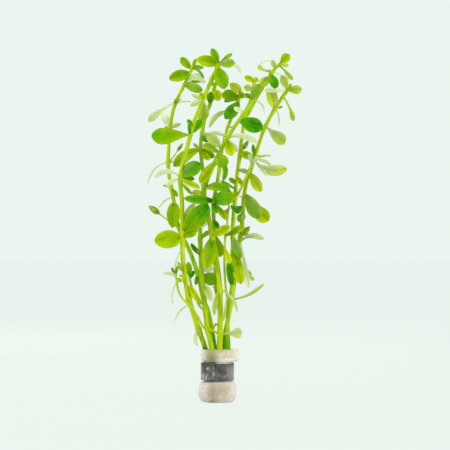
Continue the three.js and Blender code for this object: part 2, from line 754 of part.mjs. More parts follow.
// The weight band: a flat strip bent round the waist, with its outer end over its inner one
function weightBand() {
  const strip = new THREE.BoxGeometry(1, BAND_THICKNESS, BAND_WIDTH, BAND_STEPS, 1, 1);
  return solidOf(
    reshape(strip, (v) => {
      const gone = (v.x + 0.5) * BAND_TURN;
      const angle = BAND_END - gone;
      const lap = 1 - THREE.MathUtils.smoothstep(gone, LAP_TURN, LAP_TURN + LAP_SLOPE);
      const radius = BAND_RADIUS + BAND_THICKNESS / 2 + v.y + lap * (BAND_THICKNESS + LAP_GAP);
      const rise = BAND_BASE + BAND_WIDTH / 2 + BAND_RISE * (1 - gone / BAND_TURN);
      return v.set(radius * Math.cos(angle), radius * Math.sin(angle), v.z + rise);
    }),
  );
}

// The object
const group = new THREE.Group();

function addMesh(name, solid, color, roughness, metalness) {
  const material = new THREE.MeshStandardMaterial({ color, roughness, metalness });
  const mesh = new THREE.Mesh(geometryOf(solid), material);
  mesh.name = name;
  group.add(mesh);
}

addMesh("foam_plug", foamPlug(), FOAM_CREAM, 0.95, 0);
addMesh("weight_band", weightBand(), METAL_GREY, 0.5, 0.9);
for (const [name, spec] of Object.entries(STEMS)) {
  addMesh(name, leafyStem(spec, true), LEAF_GREEN, 0.45, 0);
}

export default group;
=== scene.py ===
# %% [markdown]
# # A bunch of water hyssop in a foam plug
# The object is a bunch of seven leafy stems. A strip of foam is rolled round their cut ends, and a
# strip of soft metal is bent round the foam as a weight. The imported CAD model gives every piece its
# size and place. This lesson replaces each plain solid with a finer piece of the same form.

import math

import bmesh
import bpy
from mathutils import Matrix, Vector, noise


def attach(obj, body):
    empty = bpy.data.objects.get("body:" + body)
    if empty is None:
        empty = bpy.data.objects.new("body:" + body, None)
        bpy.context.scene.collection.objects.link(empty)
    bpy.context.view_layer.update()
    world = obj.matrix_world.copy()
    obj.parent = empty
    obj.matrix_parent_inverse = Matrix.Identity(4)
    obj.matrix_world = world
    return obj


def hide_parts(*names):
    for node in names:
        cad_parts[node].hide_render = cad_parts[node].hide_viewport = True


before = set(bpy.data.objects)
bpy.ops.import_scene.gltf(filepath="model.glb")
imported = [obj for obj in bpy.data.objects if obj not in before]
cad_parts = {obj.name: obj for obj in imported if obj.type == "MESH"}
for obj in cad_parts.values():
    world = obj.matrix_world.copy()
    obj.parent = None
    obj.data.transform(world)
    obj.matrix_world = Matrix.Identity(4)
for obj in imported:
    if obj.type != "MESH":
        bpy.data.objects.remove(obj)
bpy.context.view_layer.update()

# %% [markdown]
# ## Units, colours and nodes
# Sizes are written in millimetres, as on a drawing, and each finished mesh is brought to metres once.
# Colours are the hex values that a paint program shows. Blender mixes light in linear values, so one
# function turns them. A second one adds a shader node with its settings and its links.

# %% Helpers for every piece
MM = 0.001


def paint(hex_colour):
    """The linear colour of an sRGB hex value."""
    bytes_ = [int(hex_colour[i : i + 2], 16) / 255 for i in (1, 3, 5)]
    linear = [b / 12.92 if b <= 0.04045 else ((b + 0.055) / 1.055) ** 2.4 for b in bytes_]
    return (*linear, 1)


def add(tree, kind, inputs=None, stops=None, **settings):
    """Adds a node, sets it up, and links or sets each of its inputs."""
    node = tree.nodes.new("ShaderNode" + kind)
    for name, value in settings.items():
        setattr(node, name, value)
    for key, value in (inputs or {}).items():
        if isinstance(value, bpy.types.NodeSocket):
            tree.links.new(value, node.inputs[key])
        else:
            node.inputs[key].default_value = value
    if stops:
        ramp = node.color_ramp
        while len(ramp.elements) < len(stops):
            ramp.elements.new(1)
        for element, (position, colour) in zip(ramp.elements, stops):
            element.position = position
            element.color = paint(colour)
    return node


def new_material(name):
    """An empty node material and its output node."""
    material = bpy.data.materials.new(name)
    material.use_nodes = True
    material.node_tree.nodes.clear()
    return material, material.node_tree, material.node_tree.nodes.new("ShaderNodeOutputMaterial")


def smooth_step(value, low, high):
    """0 up to low, 1 from high on, and a soft rise between them."""
    share = min(max((value - low) / (high - low), 0), 1)
    return share * share * (3 - 2 * share)


def mix(low, high, share):
    """The number at this share of the way from low to high."""
    return low + (high - low) * share


def draw(seed):
    """The same number from 0 to 1 each time for the same seed."""
    value = math.sin(seed * 12.9898) * 43758.5453
    return value - math.floor(value)


def finished(bm, name, materials, slot, *nodes):
    """Turns a bmesh in millimetres into a piece that stands for CAD nodes."""
    mesh = bpy.data.meshes.new(name)
    bm.to_mesh(mesh)
    bm.free()
    mesh.transform(Matrix.Scale(MM, 4))
    for material in materials:
        mesh.materials.append(material)
    mesh.shade_smooth()
    mesh.set_sharp_from_angle(angle=math.radians(SHARP_EDGE))
    piece = bpy.data.objects.new(name, mesh)
    bpy.context.scene.collection.objects.link(piece)
    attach(piece, "root")
    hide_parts(*nodes)
    print(f"{name}: {len(mesh.polygons)} faces")
    return piece


SHARP_EDGE = 50

# %% [markdown]
# ## What grows where
# Each stem is a route through its bends, in millimetres, from the top of the plug to its growing tip.
# `nodes` are the heights of its joints. A leaf grows from its stem at the height `root` and ends at a
# tip. At roll 0 its face is turned to the viewer, and from there roll tips the face up. `bow` is how
# far its middle stands to the left of the line to its tip, and `widest` says where along that line it
# is broadest. `away` are the joints whose rear leaves follow a rule. The CAD model uses the same rows.
# Only this lesson has two more values after a leaf's width. `tone` goes from 0 for the darkest green to
# 1 for lime, and without one the leaf draws its own. `pale` is 1 on a whitish leaf, which is partly the
# leaf's own colour and partly a painted sheen of light off its waxy skin. A pair of values stands for
# the leaf's foot and its tip.

# %% The seven stems
def leaf(root, x, y, z, width, tone=None, pale=0, **more):
    """A leaf's row. `more` has its roll, bow and widest place where they differ from most leaves'."""
    own = dict(root=root, tip=(x, y, z), width=width, tone=tone, pale=pale)
    return dict(roll=0, bow=0, widest=0.66) | own | more


def bud(root, x, y, z, bulge, share):
    """A bud's row. `share` is the part of the way to its tip that is bud, and the rest is stalk."""
    return dict(root=root, tip=(x, y, z), bulge=bulge, share=share)


STEMS = {
    "front_left": {
        "radii": [1.7, 1.15],
        "route": [
            [-7.8, -0.9, 33], [-12, -3, 45], [-15.4, -4.5, 55.6], [-18.3, -6, 65.6], [-20.3, -7.5, 77],
            [-21.7, -9, 90], [-21.9, -10, 105], [-22.3, -10.5, 125], [-23.2, -10.5, 140], [-20.5, -10, 153],
            [-17, -9, 167], [-14.2, -8, 176.3], [-9.6, -7, 187.5], [-4.9, -6, 198.8], [0.6, -5, 211.3],
        ],
        "nodes": [45, 65, 78, 102.5, 140.5, 167, 188, 201, 210],
        "away": [78, 102.5, 140.5, 167, 188, 201],
        "leaves": [
            leaf(166.6, -40.7, -13, 165, 10.4, (0.6, 0.35), widest=0.72),
            leaf(102.5, -39, -14, 101.2, 11.3, (0.6, 0.65), widest=0.56),
            leaf(105, -5.8, -12, 123, 12, (0.6, 0.05), roll=-12, bow=0.5, widest=0.6),
            leaf(141, -11, -13, 148.8, 9.4, (0.4, 0.1), (0.15, 0), roll=8, bow=-0.8),
            leaf(141.5, -17.6, -12, 149.4, 2.2, 0.08),
            leaf(211, -13, -7, 213.6, 7.2, (0.4, 0.75), widest=0.56),
            leaf(211, -3.8, -9, 219.8, 4.8, 0.5, widest=0.62),
            leaf(212, 8.7, -3, 217.6, 2.6, 0.5, widest=0.7),
            leaf(210.4, 10.3, -8, 211.4, 5.6, 0.55, (0.3, 0.1)),
            leaf(210, 14.6, -3, 205, 2.2, 0.4, 0.9, roll=20, bow=4),
            leaf(208.8, 4.5, -9, 195.2, 8.6, (0.4, 0.5), widest=0.6),
            leaf(188, -9.4, -3.6, 176, 8, (0.9, 0.8), (0.6, 0), widest=0.6),
            leaf(189, -11, -12, 192, 3.6, 0.85), leaf(188, -17, -12, 184.4, 3.6, 0.5, 0.6),
            leaf(188, -16.3, -2, 192.2, 2.4, 0.6, 0.6), leaf(166.5, -10, -6, 176, 5, 0.3),
            leaf(172, -18.6, -13, 175.4, 2.8, 0.4), leaf(166, -17.8, -13, 173, 2.2, 0.3),
            leaf(140.5, -38.8, -7, 140, 4, 0.5, 0.85, roll=20, bow=-3.2),
            leaf(139, -31.5, -14, 134.5, 3, 0.6, 0.7, bow=-1.5),
            leaf(138.5, -11.3, -14, 133.4, 4, 0.8, roll=25),
            leaf(137.5, -16, -12, 129.5, 2.4, 0.45), leaf(140, -14.5, -7, 139.2, 3, 0.3),
            leaf(111, -14.2, -8, 123.8, 3.6, 0.85, 0.35, bow=1.2),
            leaf(104, -12.6, -13.5, 107.6, 3.8, 0.6), leaf(102.8, -13.6, -16, 105, 2.6, 0.6),
            leaf(97, -26.9, -12, 82.5, 1.4, 0.4, 0.8, bow=-1),
            leaf(61.5, -27.2, -9, 50.8, 1.4, 0.4, 0.8, bow=-1.8),
            leaf(46, -13, -9, 35.8, 2.6, 0.4, 0.8, bow=-1.6),
        ],
        "buds": [bud(78.5, -24.4, -12, 87.5, 3, 0.55)],
    },
    "back_left": {
        "radii": [1.55, 1],
        "route": [
            [-2.2, 1.6, 33], [-5, 3, 51.3], [-9.4, 4.5, 65], [-12.5, 6, 78.8], [-17.2, 7, 92.5],
            [-21.9, 7.5, 102.5], [-26, 8.5, 113], [-28.2, 9, 127], [-30.7, 9.5, 140], [-31.6, 9.5, 152],
            [-30.4, 9, 170], [-28.6, 8, 182], [-25.2, 7, 191.3], [-20.8, 6.5, 200], [-15.6, 6, 211.3],
        ],
        "nodes": [58, 80, 108, 134, 150, 172, 188, 199, 209],
        "away": [80, 108, 134, 150, 172, 188],
        "leaves": [
            leaf(124.5, -28.4, 3, 108.8, 9, 0.55, widest=0.52),
            leaf(206.5, -30.6, 3, 202.6, 7.4, (0.3, 0.65), widest=0.55),
            leaf(199.2, -9.8, 3, 195, 5.8, 0.4, (0.2, 0.05), widest=0.6),
            leaf(202, -8.4, 10, 200.4, 5.2, 0.6, 0.85, roll=20, bow=2.9, widest=0.5),
            leaf(200, -10, 12, 202.4, 2.6, 0.75, widest=0.75),
            leaf(208.8, -23.6, 5, 215.8, 5, 0.5, widest=0.62), leaf(210, -13.7, 4, 215, 2.6, 0.7),
            leaf(210, -9.3, 4, 209.6, 3.2, 0.45, widest=0.45),
            leaf(209.5, -9, 9, 203.4, 1.6, 0.2, 0.3, bow=1.5),
            leaf(188.5, -43.8, 4, 176, 4.8, 0.5, (0.9, 0.65), bow=-0.9, widest=0.82),
            leaf(172.5, -35.6, 11, 181.6, 5.4, 0.7, (0.9, 1)),
            leaf(187.5, -17.5, 8, 188.8, 1.6, None, 0.9, roll=60),
            leaf(172, -23.8, 6, 174.4, 2.8, 0.5, 0.5),
            leaf(150.5, -44.2, 6, 136.5, 1.6, 0.4, 0.85, bow=-3.4),
            leaf(134, -25.5, 5, 128.8, 2.8, 0.45),
            leaf(128, -37, 7, 121.5, 1.4, 0.4, 0.85, bow=-1.6), leaf(80, -13.8, 2, 73.4, 2.6, 0.3),
        ],
        "buds": [bud(108, -43.8, 9, 122.8, 4.2, 0.34), bud(149, -22.4, 6.5, 162, 2.4, 0.34)],
    },
    "centre_left": {
        "radii": [1.7, 1],
        "route": [
            [-3.9, -5.4, 33], [-6.3, -4.6, 45], [-7.8, -4, 57.5], [-9.1, -3, 70], [-10.4, -1.5, 83],
            [-11, 0, 97], [-11.2, 1, 110], [-10, 2, 126], [-9.1, 2.5, 139], [-10.5, 2, 153],
            [-10.7, 1.5, 164], [-8.1, 1, 177.5], [-5, 0.5, 186.5], [-1.9, 0, 198],
        ],
        "nodes": [45.5, 57, 78, 102, 131, 158, 169, 186, 196],
        "away": [78, 102, 131, 158],
        "leaves": [
            leaf(158, -27.3, -1, 147.2, 7.4, (1, 0.45), bow=-1.8, widest=0.62),
            leaf(169, -6.4, -4, 162.4, 5.2, (0.7, 0.3), (0.4, 0)),
            leaf(158, -2.4, -1.5, 153, 4.5, 0.5), leaf(157, -5.6, -5, 151.3, 4, 0.8),
            leaf(157, -15, -4, 161.3, 2, 0.7, 0.4), leaf(88, -2, -3, 85, 3, 0.7, 0.7, bow=-4.4),
            leaf(91, -16.8, -5, 98.8, 2.8, 0.2), leaf(186.5, -4.4, -4, 193.4, 5, 0.3),
            leaf(196, 0.8, -3, 188.4, 6.2, 1), leaf(197, 0.5, 3, 202.4, 3, 0.4),
            leaf(197, -5, 4, 201.4, 2.8, 0.5), leaf(78, 1, -1.5, 76, 8.2, 0.3, widest=0.5),
            leaf(73.5, -4.4, -8, 63.8, 5, 0.75, (0.1, 0.75), bow=1),
            leaf(102, -5.2, -3, 107, 3, 0.6), leaf(108.5, -7, -3.4, 112.8, 3, None, 0.95),
            leaf(131, -16.2, -3, 130.8, 3.8, 0.95, 0.3), leaf(60, -17.4, -8, 73, 4, 0.9, bow=1.2),
        ],
        "buds": [bud(90, -14.4, -3, 96.8, 3, 0.6)],
        "shoots": [
            {
                "radii": [0.8, 0.6],
                "route": [
                    [-6.5, -4.7, 45.5], [-9.4, -6.6, 47.5], [-11.9, -8, 52.5], [-15, -8.6, 57.5],
                    [-18.1, -9, 61.3], [-21.3, -9, 64.4], [-23.8, -8.8, 68.1], [-25, -8.5, 72],
                    [-25.6, -8.2, 76.3], [-26.3, -8, 80.6],
                ],
                "nodes": [76.5],
                "leaves": [
                    leaf(75, -28, -9, 62, 1.2, 0.4, 0.85, bow=-1.6),
                    leaf(78, -33.8, -9, 80.6, 2.2, None, 0.8, bow=-1.2),
                    leaf(79.5, -25.8, -5, 85, 2.4, 0.45), leaf(80, -28.6, -8, 84, 2.2, 0.4),
                    leaf(77, -21.8, -12, 76, 3.2, 0.8),
                ],
            },
            {
                "radii": [0.8, 0.6],
                "route": [
                    [-8, -4, 57], [-11.3, -4.6, 60], [-13.1, -4.6, 63.8], [-15, -4.4, 68.8],
                    [-16.9, -3.6, 73.8], [-17.5, -3, 78],
                ],
                "nodes": [77],
                "leaves": [leaf(77, -18.6, -4, 87.5, 4, (0.1, 0.65)), leaf(77, -15, 0, 82, 2.4, 0.2)],
            },
        ],
    },
    "centre": {
        "radii": [1.75, 1.1],
        "route": [
            [1.1, -4.4, 33], [1.4, -4.8, 45], [1.6, -5.4, 58], [1, -6, 73], [-0.8, -6.6, 88.8],
            [-3.9, -6.9, 105], [-6.5, -6.8, 119], [-8.6, -6.8, 131], [-5.8, -7, 141], [-1.8, -7.2, 149.5],
            [4, -6.6, 161.3], [9.8, -5.8, 171], [17.9, -5, 182.5], [21.2, -4.4, 190.6], [22.6, -4, 199.4],
        ],
        "nodes": [42.5, 70, 103, 134, 152.5, 165, 180, 190],
        "away": [134, 165],
        "leaves": [
            leaf(134.5, 7.2, -15, 131.6, 8, (0.75, 0.15), roll=50, widest=0.5),
            leaf(175.6, 27.6, -7, 170.7, 9.6, (0.15, 0.05), widest=0.62),
            leaf(165.5, 24.8, -8, 161.6, 4, 0.6, 0.75, roll=20, bow=1.7),
            leaf(164, 8.6, -10, 153.6, 6.4, (0.35, 1)), leaf(153, 5.2, -16, 146.8, 8, (0.6, 0.35)),
            leaf(152, 3.2, -11, 138, 3.4, (0.6, 0.3), bow=3.5),
            leaf(158, -6.8, -13, 167.2, 6.3, (0.75, 0.6), 0.4),
            leaf(155.5, -9.2, -11, 160, 5.2, (0.4, 0.6), 0.1, roll=30),
            leaf(165.5, -5, -5, 168, 4, 0.5, 0.6, roll=60), leaf(151, -11.2, -10, 136.6, 6.4, 0.75),
            leaf(164, 12, -3, 156.4, 3.8, 0.7, 0.9),
            leaf(103, -7, -11, 84, 9.4, (0.25, 0.7), widest=0.58),
            leaf(104, 7.2, -12, 110.2, 5.6, 0.85, bow=-0.6),
            leaf(71, -2.4, -10, 54.6, 3.2, 0.6, (0.1, 0.5), bow=-1),
            leaf(70.5, 11.9, -9, 56.5, 2, 0.7, 0.6, bow=2.8),
            leaf(42.5, 14.8, -8, 43.8, 6.8, 0.65, (0.4, 0.6), widest=0.85),
            leaf(42.5, -8, -9, 47.5, 1.6, 0.8), leaf(47, -2.6, -7, 46.2, 1.4, 0.6, bow=-2.6),
            leaf(199, 16.6, -5, 202.4, 4, 0.75, bow=-0.8, widest=0.62),
            leaf(199, 25, -2, 202, 3.6, 0.9, bow=0.8), leaf(195, 16.2, -7, 196.4, 4.4, 0.75, 0.2),
            leaf(188, 25.8, -9, 198, 6.2, (0.6, 0.5), (0.15, 0.1)),
            leaf(190, 16.4, -7, 191.6, 3.4, 0.5), leaf(180.5, 10, -8, 183.2, 3, None, 0.9),
        ],
        "buds": [],
    },
    "centre_back": {
        "radii": [1.6, 1],
        "route": [
            [0.6, 6, 33], [1, 6.5, 46], [1.2, 6.8, 56], [0, 7, 65], [-1.4, 6.6, 76],
            [-1.7, 5.4, 88], [-2.3, 0.4, 104], [-2.6, -4.2, 114], [-2.8, -7.4, 124], [-0.8, -5, 135],
            [0.9, -1.5, 146], [2.5, 3, 158], [6, 7, 172], [10.2, 8, 182.5], [13, 8.5, 190],
            [14.4, 9, 195.5],
        ],
        "nodes": [70, 105, 125.5, 146, 182, 190, 195],
        "away": [70, 146, 158, 172],
        "leaves": [
            leaf(125.6, -20.6, -16.5, 127, 5.6, 0.25, widest=0.55),
            leaf(125, 5.6, -11, 113.8, 3.8, 0.7), leaf(124.5, -0.6, -14, 118, 4, 0.15),
            leaf(114, 0.5, -9, 108, 3.2, 0.2), leaf(105, 2, -2, 91, 6.6, 0.65),
            leaf(189.5, 4.2, 2, 177.8, 8.2, (0.4, 0.15), bow=1.5),
            leaf(195, 7.6, 4, 199.4, 6, 0.9, 0.15, widest=0.5),
            leaf(191.5, 2.5, 5, 192.8, 7.4, (0.35, 0.5)), leaf(190, 3.8, 10, 189, 4, 0.03, roll=50),
            leaf(192, 16.6, 5, 192.6, 4, 0.6),
            leaf(182, -5.6, 5, 172, 3.4, 0.7, 0.6, roll=20, bow=-3.4),
        ],
        "buds": [],
    },
    "right_front": {
        "radii": [1.65, 1],
        "route": [
            [6.3, -3, 33], [5.9, -3.2, 47], [7.1, -3.8, 60.6], [9, -4.4, 73], [9.4, -4.6, 90],
            [9.4, -4, 110], [10.6, -2.5, 126.3], [11.6, -1, 139], [13.2, 0.5, 151], [14.9, 1.5, 165],
            [16.9, 2, 176.3], [22.6, 1.5, 187.5], [27.8, 1, 197], [33.8, 0.5, 206.3], [39.4, 0, 212.5],
        ],
        "nodes": [64, 92, 104, 128, 155, 182, 196, 206],
        "away": [128, 176, 206],
        "leaves": [
            leaf(128.8, -2.5, -11, 126, 9.4, (0.6, 0.05), widest=0.55),
            leaf(122, 12.2, -13, 117.8, 7.4, 0.03, widest=0.6),
            leaf(104, 13.8, -9, 90, 5, 0.3, (0.45, 0)),
            leaf(100, 14.2, -9, 74.2, 7.4, (0.5, 0.8), widest=0.75),
            leaf(72, 6.6, -10, 89, 5, 0.2, widest=0.55),
            leaf(188.5, 29.4, -2, 179, 1.4, None, 0.9, bow=2.4), leaf(212, 44.4, -3, 217, 5.8, 0.8),
            leaf(211.3, 44.2, 3, 210.8, 2.8, 0.85, 0.2, widest=0.7),
            leaf(211, 46.4, -3, 201.3, 3, (0.3, 0.7), 0.2, bow=0.2, widest=0.82),
            leaf(208.5, 33.8, -4, 213.2, 3.2, 0.6, 0.6),
            leaf(206.5, 25, -3, 210, 3.2, (0.4, 0.8), 0.3, bow=1.3, widest=0.88),
            leaf(209, 26, 4, 211, 1.3, None, 1, bow=-5), leaf(203, 26.6, -4, 197.4, 6, 0.8, 0.15),
            leaf(205.5, 35.4, -6, 195.6, 6.4, (0.3, 0.05), roll=20),
            leaf(206, 41, 5, 204, 1.2, None, 0.9, bow=1), leaf(145.4, 19, -4, 143.6, 3, 0.5, 0.6),
            leaf(136, 7.3, -4, 139.8, 3, 0.4), leaf(141, 15.6, -6, 135, 3, 0.8),
            leaf(133, 1.8, -8.6, 138, 2, 0.3),
            leaf(64, 28.8, -4, 74.3, 2.2, 0.6, 0.4, roll=20, bow=-2.4, widest=0.72),
        ],
        "buds": [bud(155, 18.8, -2, 163, 3, 0.6)],
        "shoots": [
            {
                "radii": [0.85, 0.6],
                "route": [
                    [11, -2.3, 127.5], [13.8, -3.4, 132], [15.6, -4, 136.3], [17.5, -4.2, 140.6],
                    [19.4, -4.2, 145], [21.5, -4, 149],
                ],
                "nodes": [145],
                "leaves": [
                    leaf(148.5, 19.5, -9, 154, 2.4, None, 0.8),
                    leaf(148.5, 25, -8, 152.5, 2.4, None, 0.8),
                ],
            },
            {
                "radii": [0.85, 0.6],
                "route": [
                    [7, -3.8, 60.5], [5.6, -5, 67], [4.6, -6.2, 74], [4, -6.6, 86], [4.4, -6.6, 101],
                    [5.6, -5.6, 110.6], [6.9, -4.6, 123],
                ],
                "nodes": [103.8],
                "leaves": [
                    leaf(103.8, 16.3, -10.5, 110, 4.6, 0.6),
                    leaf(97, 7.4, -13.5, 87, 4, 1, widest=0.75), leaf(121, 2.4, -8, 116, 3, 0.7),
                    leaf(66, 3.4, -8, 51, 1.6, 0.7, 0.4),
                ],
            },
        ],
    },
    "right": {
        "radii": [1.55, 1.1],
        "route": [
            [3.8, 2, 33], [5, 2.6, 45], [6.9, 3.4, 54.4], [9.2, 4, 68], [11.3, 4.6, 82.5], [13.2, 5, 98],
            [15, 5.2, 110.6], [16.3, 5, 128], [18.4, 4.6, 139], [21.3, 4, 148], [24.4, 3.6, 157.5],
            [28.1, 3.2, 168.8], [32.5, 2.8, 178], [38.1, 2.4, 187.5], [43.8, 2, 195.6],
        ],
        "nodes": [64, 86, 103, 127.5, 143.5, 152.5, 172.5, 184, 195],
        "away": [64, 103, 127.5, 152.5, 172.5, 184],
        "leaves": [
            leaf(127.5, 31.6, 3, 113, 9.2, 0.9, widest=0.75),
            leaf(131, 25.6, -3.5, 114.8, 8.8, (0.6, 0.35), (0.25, 0.1)),
            leaf(172.5, 41.9, 0, 162, 7.6, (0.6, 0.7), (0.8, 0.1), widest=0.76),
            leaf(152, 43, 0, 146.4, 7, (0.6, 0.9), (1, 0.2), bow=-4.6, widest=0.74),
            leaf(143.8, 26.8, 0, 131.6, 6.6, (0.8, 0.95), 0.1),
            leaf(152.5, 13.8, -5, 155.6, 5, 0.5), leaf(153, 21.8, 0, 161, 2.4, 0.25),
            leaf(152.5, 33.1, 6, 154.5, 2.4, 0.7, 0.5, roll=60),
            leaf(151.5, 33.4, 6, 147.8, 2, 0.6, 0.7, bow=1.6),
            leaf(152, 30.6, -3, 141.4, 1.8, 0.6, 0.8),
            leaf(195.2, 52.5, 1, 195.6, 5.8, 0.75, (0, 0.35)),
            leaf(195.2, 39.9, -2, 204.2, 5, 0.75, 0.3),
            leaf(194.5, 29.2, -3, 194.4, 3.4, 0.7, 0.85, bow=-0.6),
            leaf(195.4, 46, 5, 199.5, 2.2, 0.7),
            leaf(191.5, 47.3, 0, 175.8, 3.2, 0.7, 0.15, bow=0.8, widest=0.85),
            leaf(183.5, 32.5, 0, 196.2, 7.2, (1, 0.75), 0.2, widest=0.6),
            leaf(184, 37.9, 4, 173, 1.4, None, 0.9, bow=1.2),
            leaf(99.4, 28.8, 2, 101.6, 3.6, 0.6, 0.8, roll=20, bow=3.2, widest=0.72),
            leaf(102, 19.4, 1, 71.5, 4.2, 0.7, 1, bow=-0.8),
            leaf(86, 21, 6, 79.2, 3, 0.85, widest=0.8),
            leaf(85, 22.8, 6, 75.8, 2.6, 0.85, 0.3, widest=0.85),
            leaf(118, 13.9, -5, 112.5, 5.4, 0.45),
        ],
        "buds": [bud(103, 19.9, 1, 109.6, 4.2, 0.8)],
    },
}

# %% [markdown]
# ## Lines that stems and leaves follow
# The rows give the depths of a narrow bunch. Above the plug it fans out by `FAN` and leans back a
# little, to stand balanced. A stem's middle line is a smooth curve through its points, and a blade's
# midrib is an arc through three. Inside the plug the stems stand straight and keep near its axis.

# %% Places and curves
PLUG_TOP = 33
STEM_FOOT = 0.8
FOOT_REACH = 6.1
FOOT_BEND = 22
FAN = 1.7
FAN_FULL = 95
LEAN_BACK = 1.5
TANGENT_STEP = 0.0001
HALVINGS = 30


def place(point):
    """A place of the rows above, with the depth that the fanned bunch gives it."""
    x, y, z = point
    share = smooth_step(z, PLUG_TOP, FAN_FULL)
    return Vector((x, y * mix(1, FAN, share) + LEAN_BACK * share, z))


def foot_of(route, lowest):
    """The lower part of a stem's way in the plug, with foam all round it."""
    x, y, _ = route[0]
    pull = min(1, FOOT_REACH / math.hypot(x, y))
    return [[x * pull, y * pull, z] for z in (lowest, FOOT_BEND)]


def on_line(points, share):
    """The place on the smooth line through the points at this share of the way."""
    reach = share * (len(points) - 1)
    i = min(int(reach), len(points) - 2)
    t = reach - i
    start, end = points[i], points[i + 1]
    before = points[i - 1] if i else 2 * start - end
    after = points[i + 2] if i + 2 < len(points) else 2 * end - start
    leave, arrive = (end - before) / 2, (after - start) / 2
    bend = (3 * end - 3 * start - 2 * leave - arrive) * t * t
    return start + leave * t + bend + (2 * start - 2 * end + leave + arrive) * t**3


def on_arc(points, share):
    """The place on the arc that leaves the first point and is drawn towards the second."""
    start, pull, end = points
    return start * (1 - share) ** 2 + pull * 2 * share * (1 - share) + end * share**2


def direction(line, points, share):
    """The way a line runs at this share of it."""
    ahead, behind = min(share + TANGENT_STEP, 1), max(share - TANGENT_STEP, 0)
    return (line(points, ahead) - line(points, behind)).normalized()


def share_at(points, height):
    """The share of a rising line at which it reaches a height."""
    low, high = 0, 1
    for _ in range(HALVINGS):
        middle = (low + high) / 2
        if on_line(points, middle).z < height:
            low = middle
        else:
            high = middle
    return (low + high) / 2


def root_of(row, points):
    """The place on a stem's line from which a leaf or a bud grows."""
    return on_line(points, share_at(points, row["root"]))


# %% [markdown]
# ## Stems
# A hyssop stem is a soft green rod of 2 to 4 mm that swells at each joint, where a pair of leaves
# grows. A curve with a bevel would give the rod, but not the swellings or the leaf scars. So a plain
# cone is cut into rings, and each ring is carried to its place on the stem's line.

# %% Rods that follow a line
STEM_SIDES = 12
STEM_STEP = 1.2
NODE_SWELLING = 0.22
NODE_REACH = 3
SCAR_SWELLING = 0.1
SCAR_REACH = 0.5
NEARLY_X = 0.8


def span(edge, axis):
    """How far an edge reaches along an axis."""
    return abs(edge.verts[0].co[axis] - edge.verts[1].co[axis])


def rod(bm, line, points, radius_at, sides, steps):
    """A cylinder bent along a line, with its own radius at each share of the way."""
    older = len(bm.verts)
    ends = bmesh.ops.create_cone(bm, cap_ends=True, segments=sides, radius1=1, radius2=1, depth=1)
    edges = {e for v in ends["verts"] for e in v.link_edges}
    upright = [e for e in edges if span(e, 2) > 0.5]
    bmesh.ops.subdivide_edges(bm, edges=upright, cuts=steps - 1)
    bm.verts.ensure_lookup_table()
    made = bm.verts[older:]
    middle = direction(line, points, 0.5)
    fixed = Vector((1, 0, 0)) if abs(middle.x) < NEARLY_X else Vector((0, 1, 0))
    rings = {}
    for vertex in made:
        share = min(max(vertex.co.z + 0.5, 0), 1)
        key = round(share, 5)
        if key not in rings:
            along = direction(line, points, share)
            across = (fixed - along * along.dot(fixed)).normalized()
            rings[key] = (line(points, share), across, along.cross(across), radius_at(share))
        centre, across, third, radius = rings[key]
        vertex.co = centre + (across * vertex.co.x + third * vertex.co.y) * radius
    return made


def stem_radius(spec, points):
    """A stem tapers to its tip, swells at its joints and has a leaf scar round each."""
    foot, tip = spec["radii"]

    def radius_at(share):
        height = on_line(points, share).z
        swelling = sum(math.exp(-(((height - node) / NODE_REACH) ** 2)) for node in spec["nodes"])
        scar = sum(math.exp(-(((height - node) / SCAR_REACH) ** 2)) for node in spec["nodes"])
        grown = 1 + NODE_SWELLING * min(swelling, 1) + SCAR_SWELLING * min(scar, 1)
        return mix(foot, tip, share) * grown

    return radius_at


# %% [markdown]
# ## Leaves
# A hyssop leaf is a thick, smooth spoon shape with a sunken midrib and no stalk. It could be one flat
# card with a picture on it, but then it would have no edge and no shading of its own. Here each one is
# a grid that is bent along its midrib, folded along it, and given its thickness by `solidify`. A
# blade's edges are limier than its middle, and the half that is turned to the sky gets a paler, painted
# sheen.

# %% Blades
BLADE_THICKNESS = 0.5
LEAST_HALF_WIDTH = 0.5
BROAD_BLADE = 6.4
BROAD_GRID = (8, 16)
SLIM_GRID = (6, 10)
OUTLINE_POWER = 0.5
TIP_TAPER = 0.8
CURL = (0.05, 0.17)
FOLD = (8, 22)
BROAD_WAVE = 0.35
SLIM_WAVE = 0.1
WAVE_TURNS = 9
RIB_DEPTH = 0.3
RIB_REACH = 0.16
RIB_FULL = 2
ROW_CROWDING = 1.3
LEAST_FACE = 0.35
SHEEN_SIDE_TURN = (-0.35, 0.35)
EDGE_TONE = 0.2


def half_width(spec, share):
    """A blade widens from its narrow foot and closes in a round tip."""
    power = math.log(0.5) / math.log(spec["widest"])
    outline = max(math.sin(math.pi * min(share, 1) ** power), 0) ** OUTLINE_POWER
    return max(spec["width"] / 2 * outline, LEAST_HALF_WIDTH * (1 - TIP_TAPER * share**8))


def face_of(along, roll):
    """The way a blade's upper face looks."""
    face = Vector((0, -1, 0)) + along * along.y
    if face.length < LEAST_FACE:
        face = Vector((0, 0, 1)) - along * along.z
    turn = math.radians(-roll if along.x > 0 else roll)
    return Matrix.Rotation(turn, 3, along) @ face.normalized()


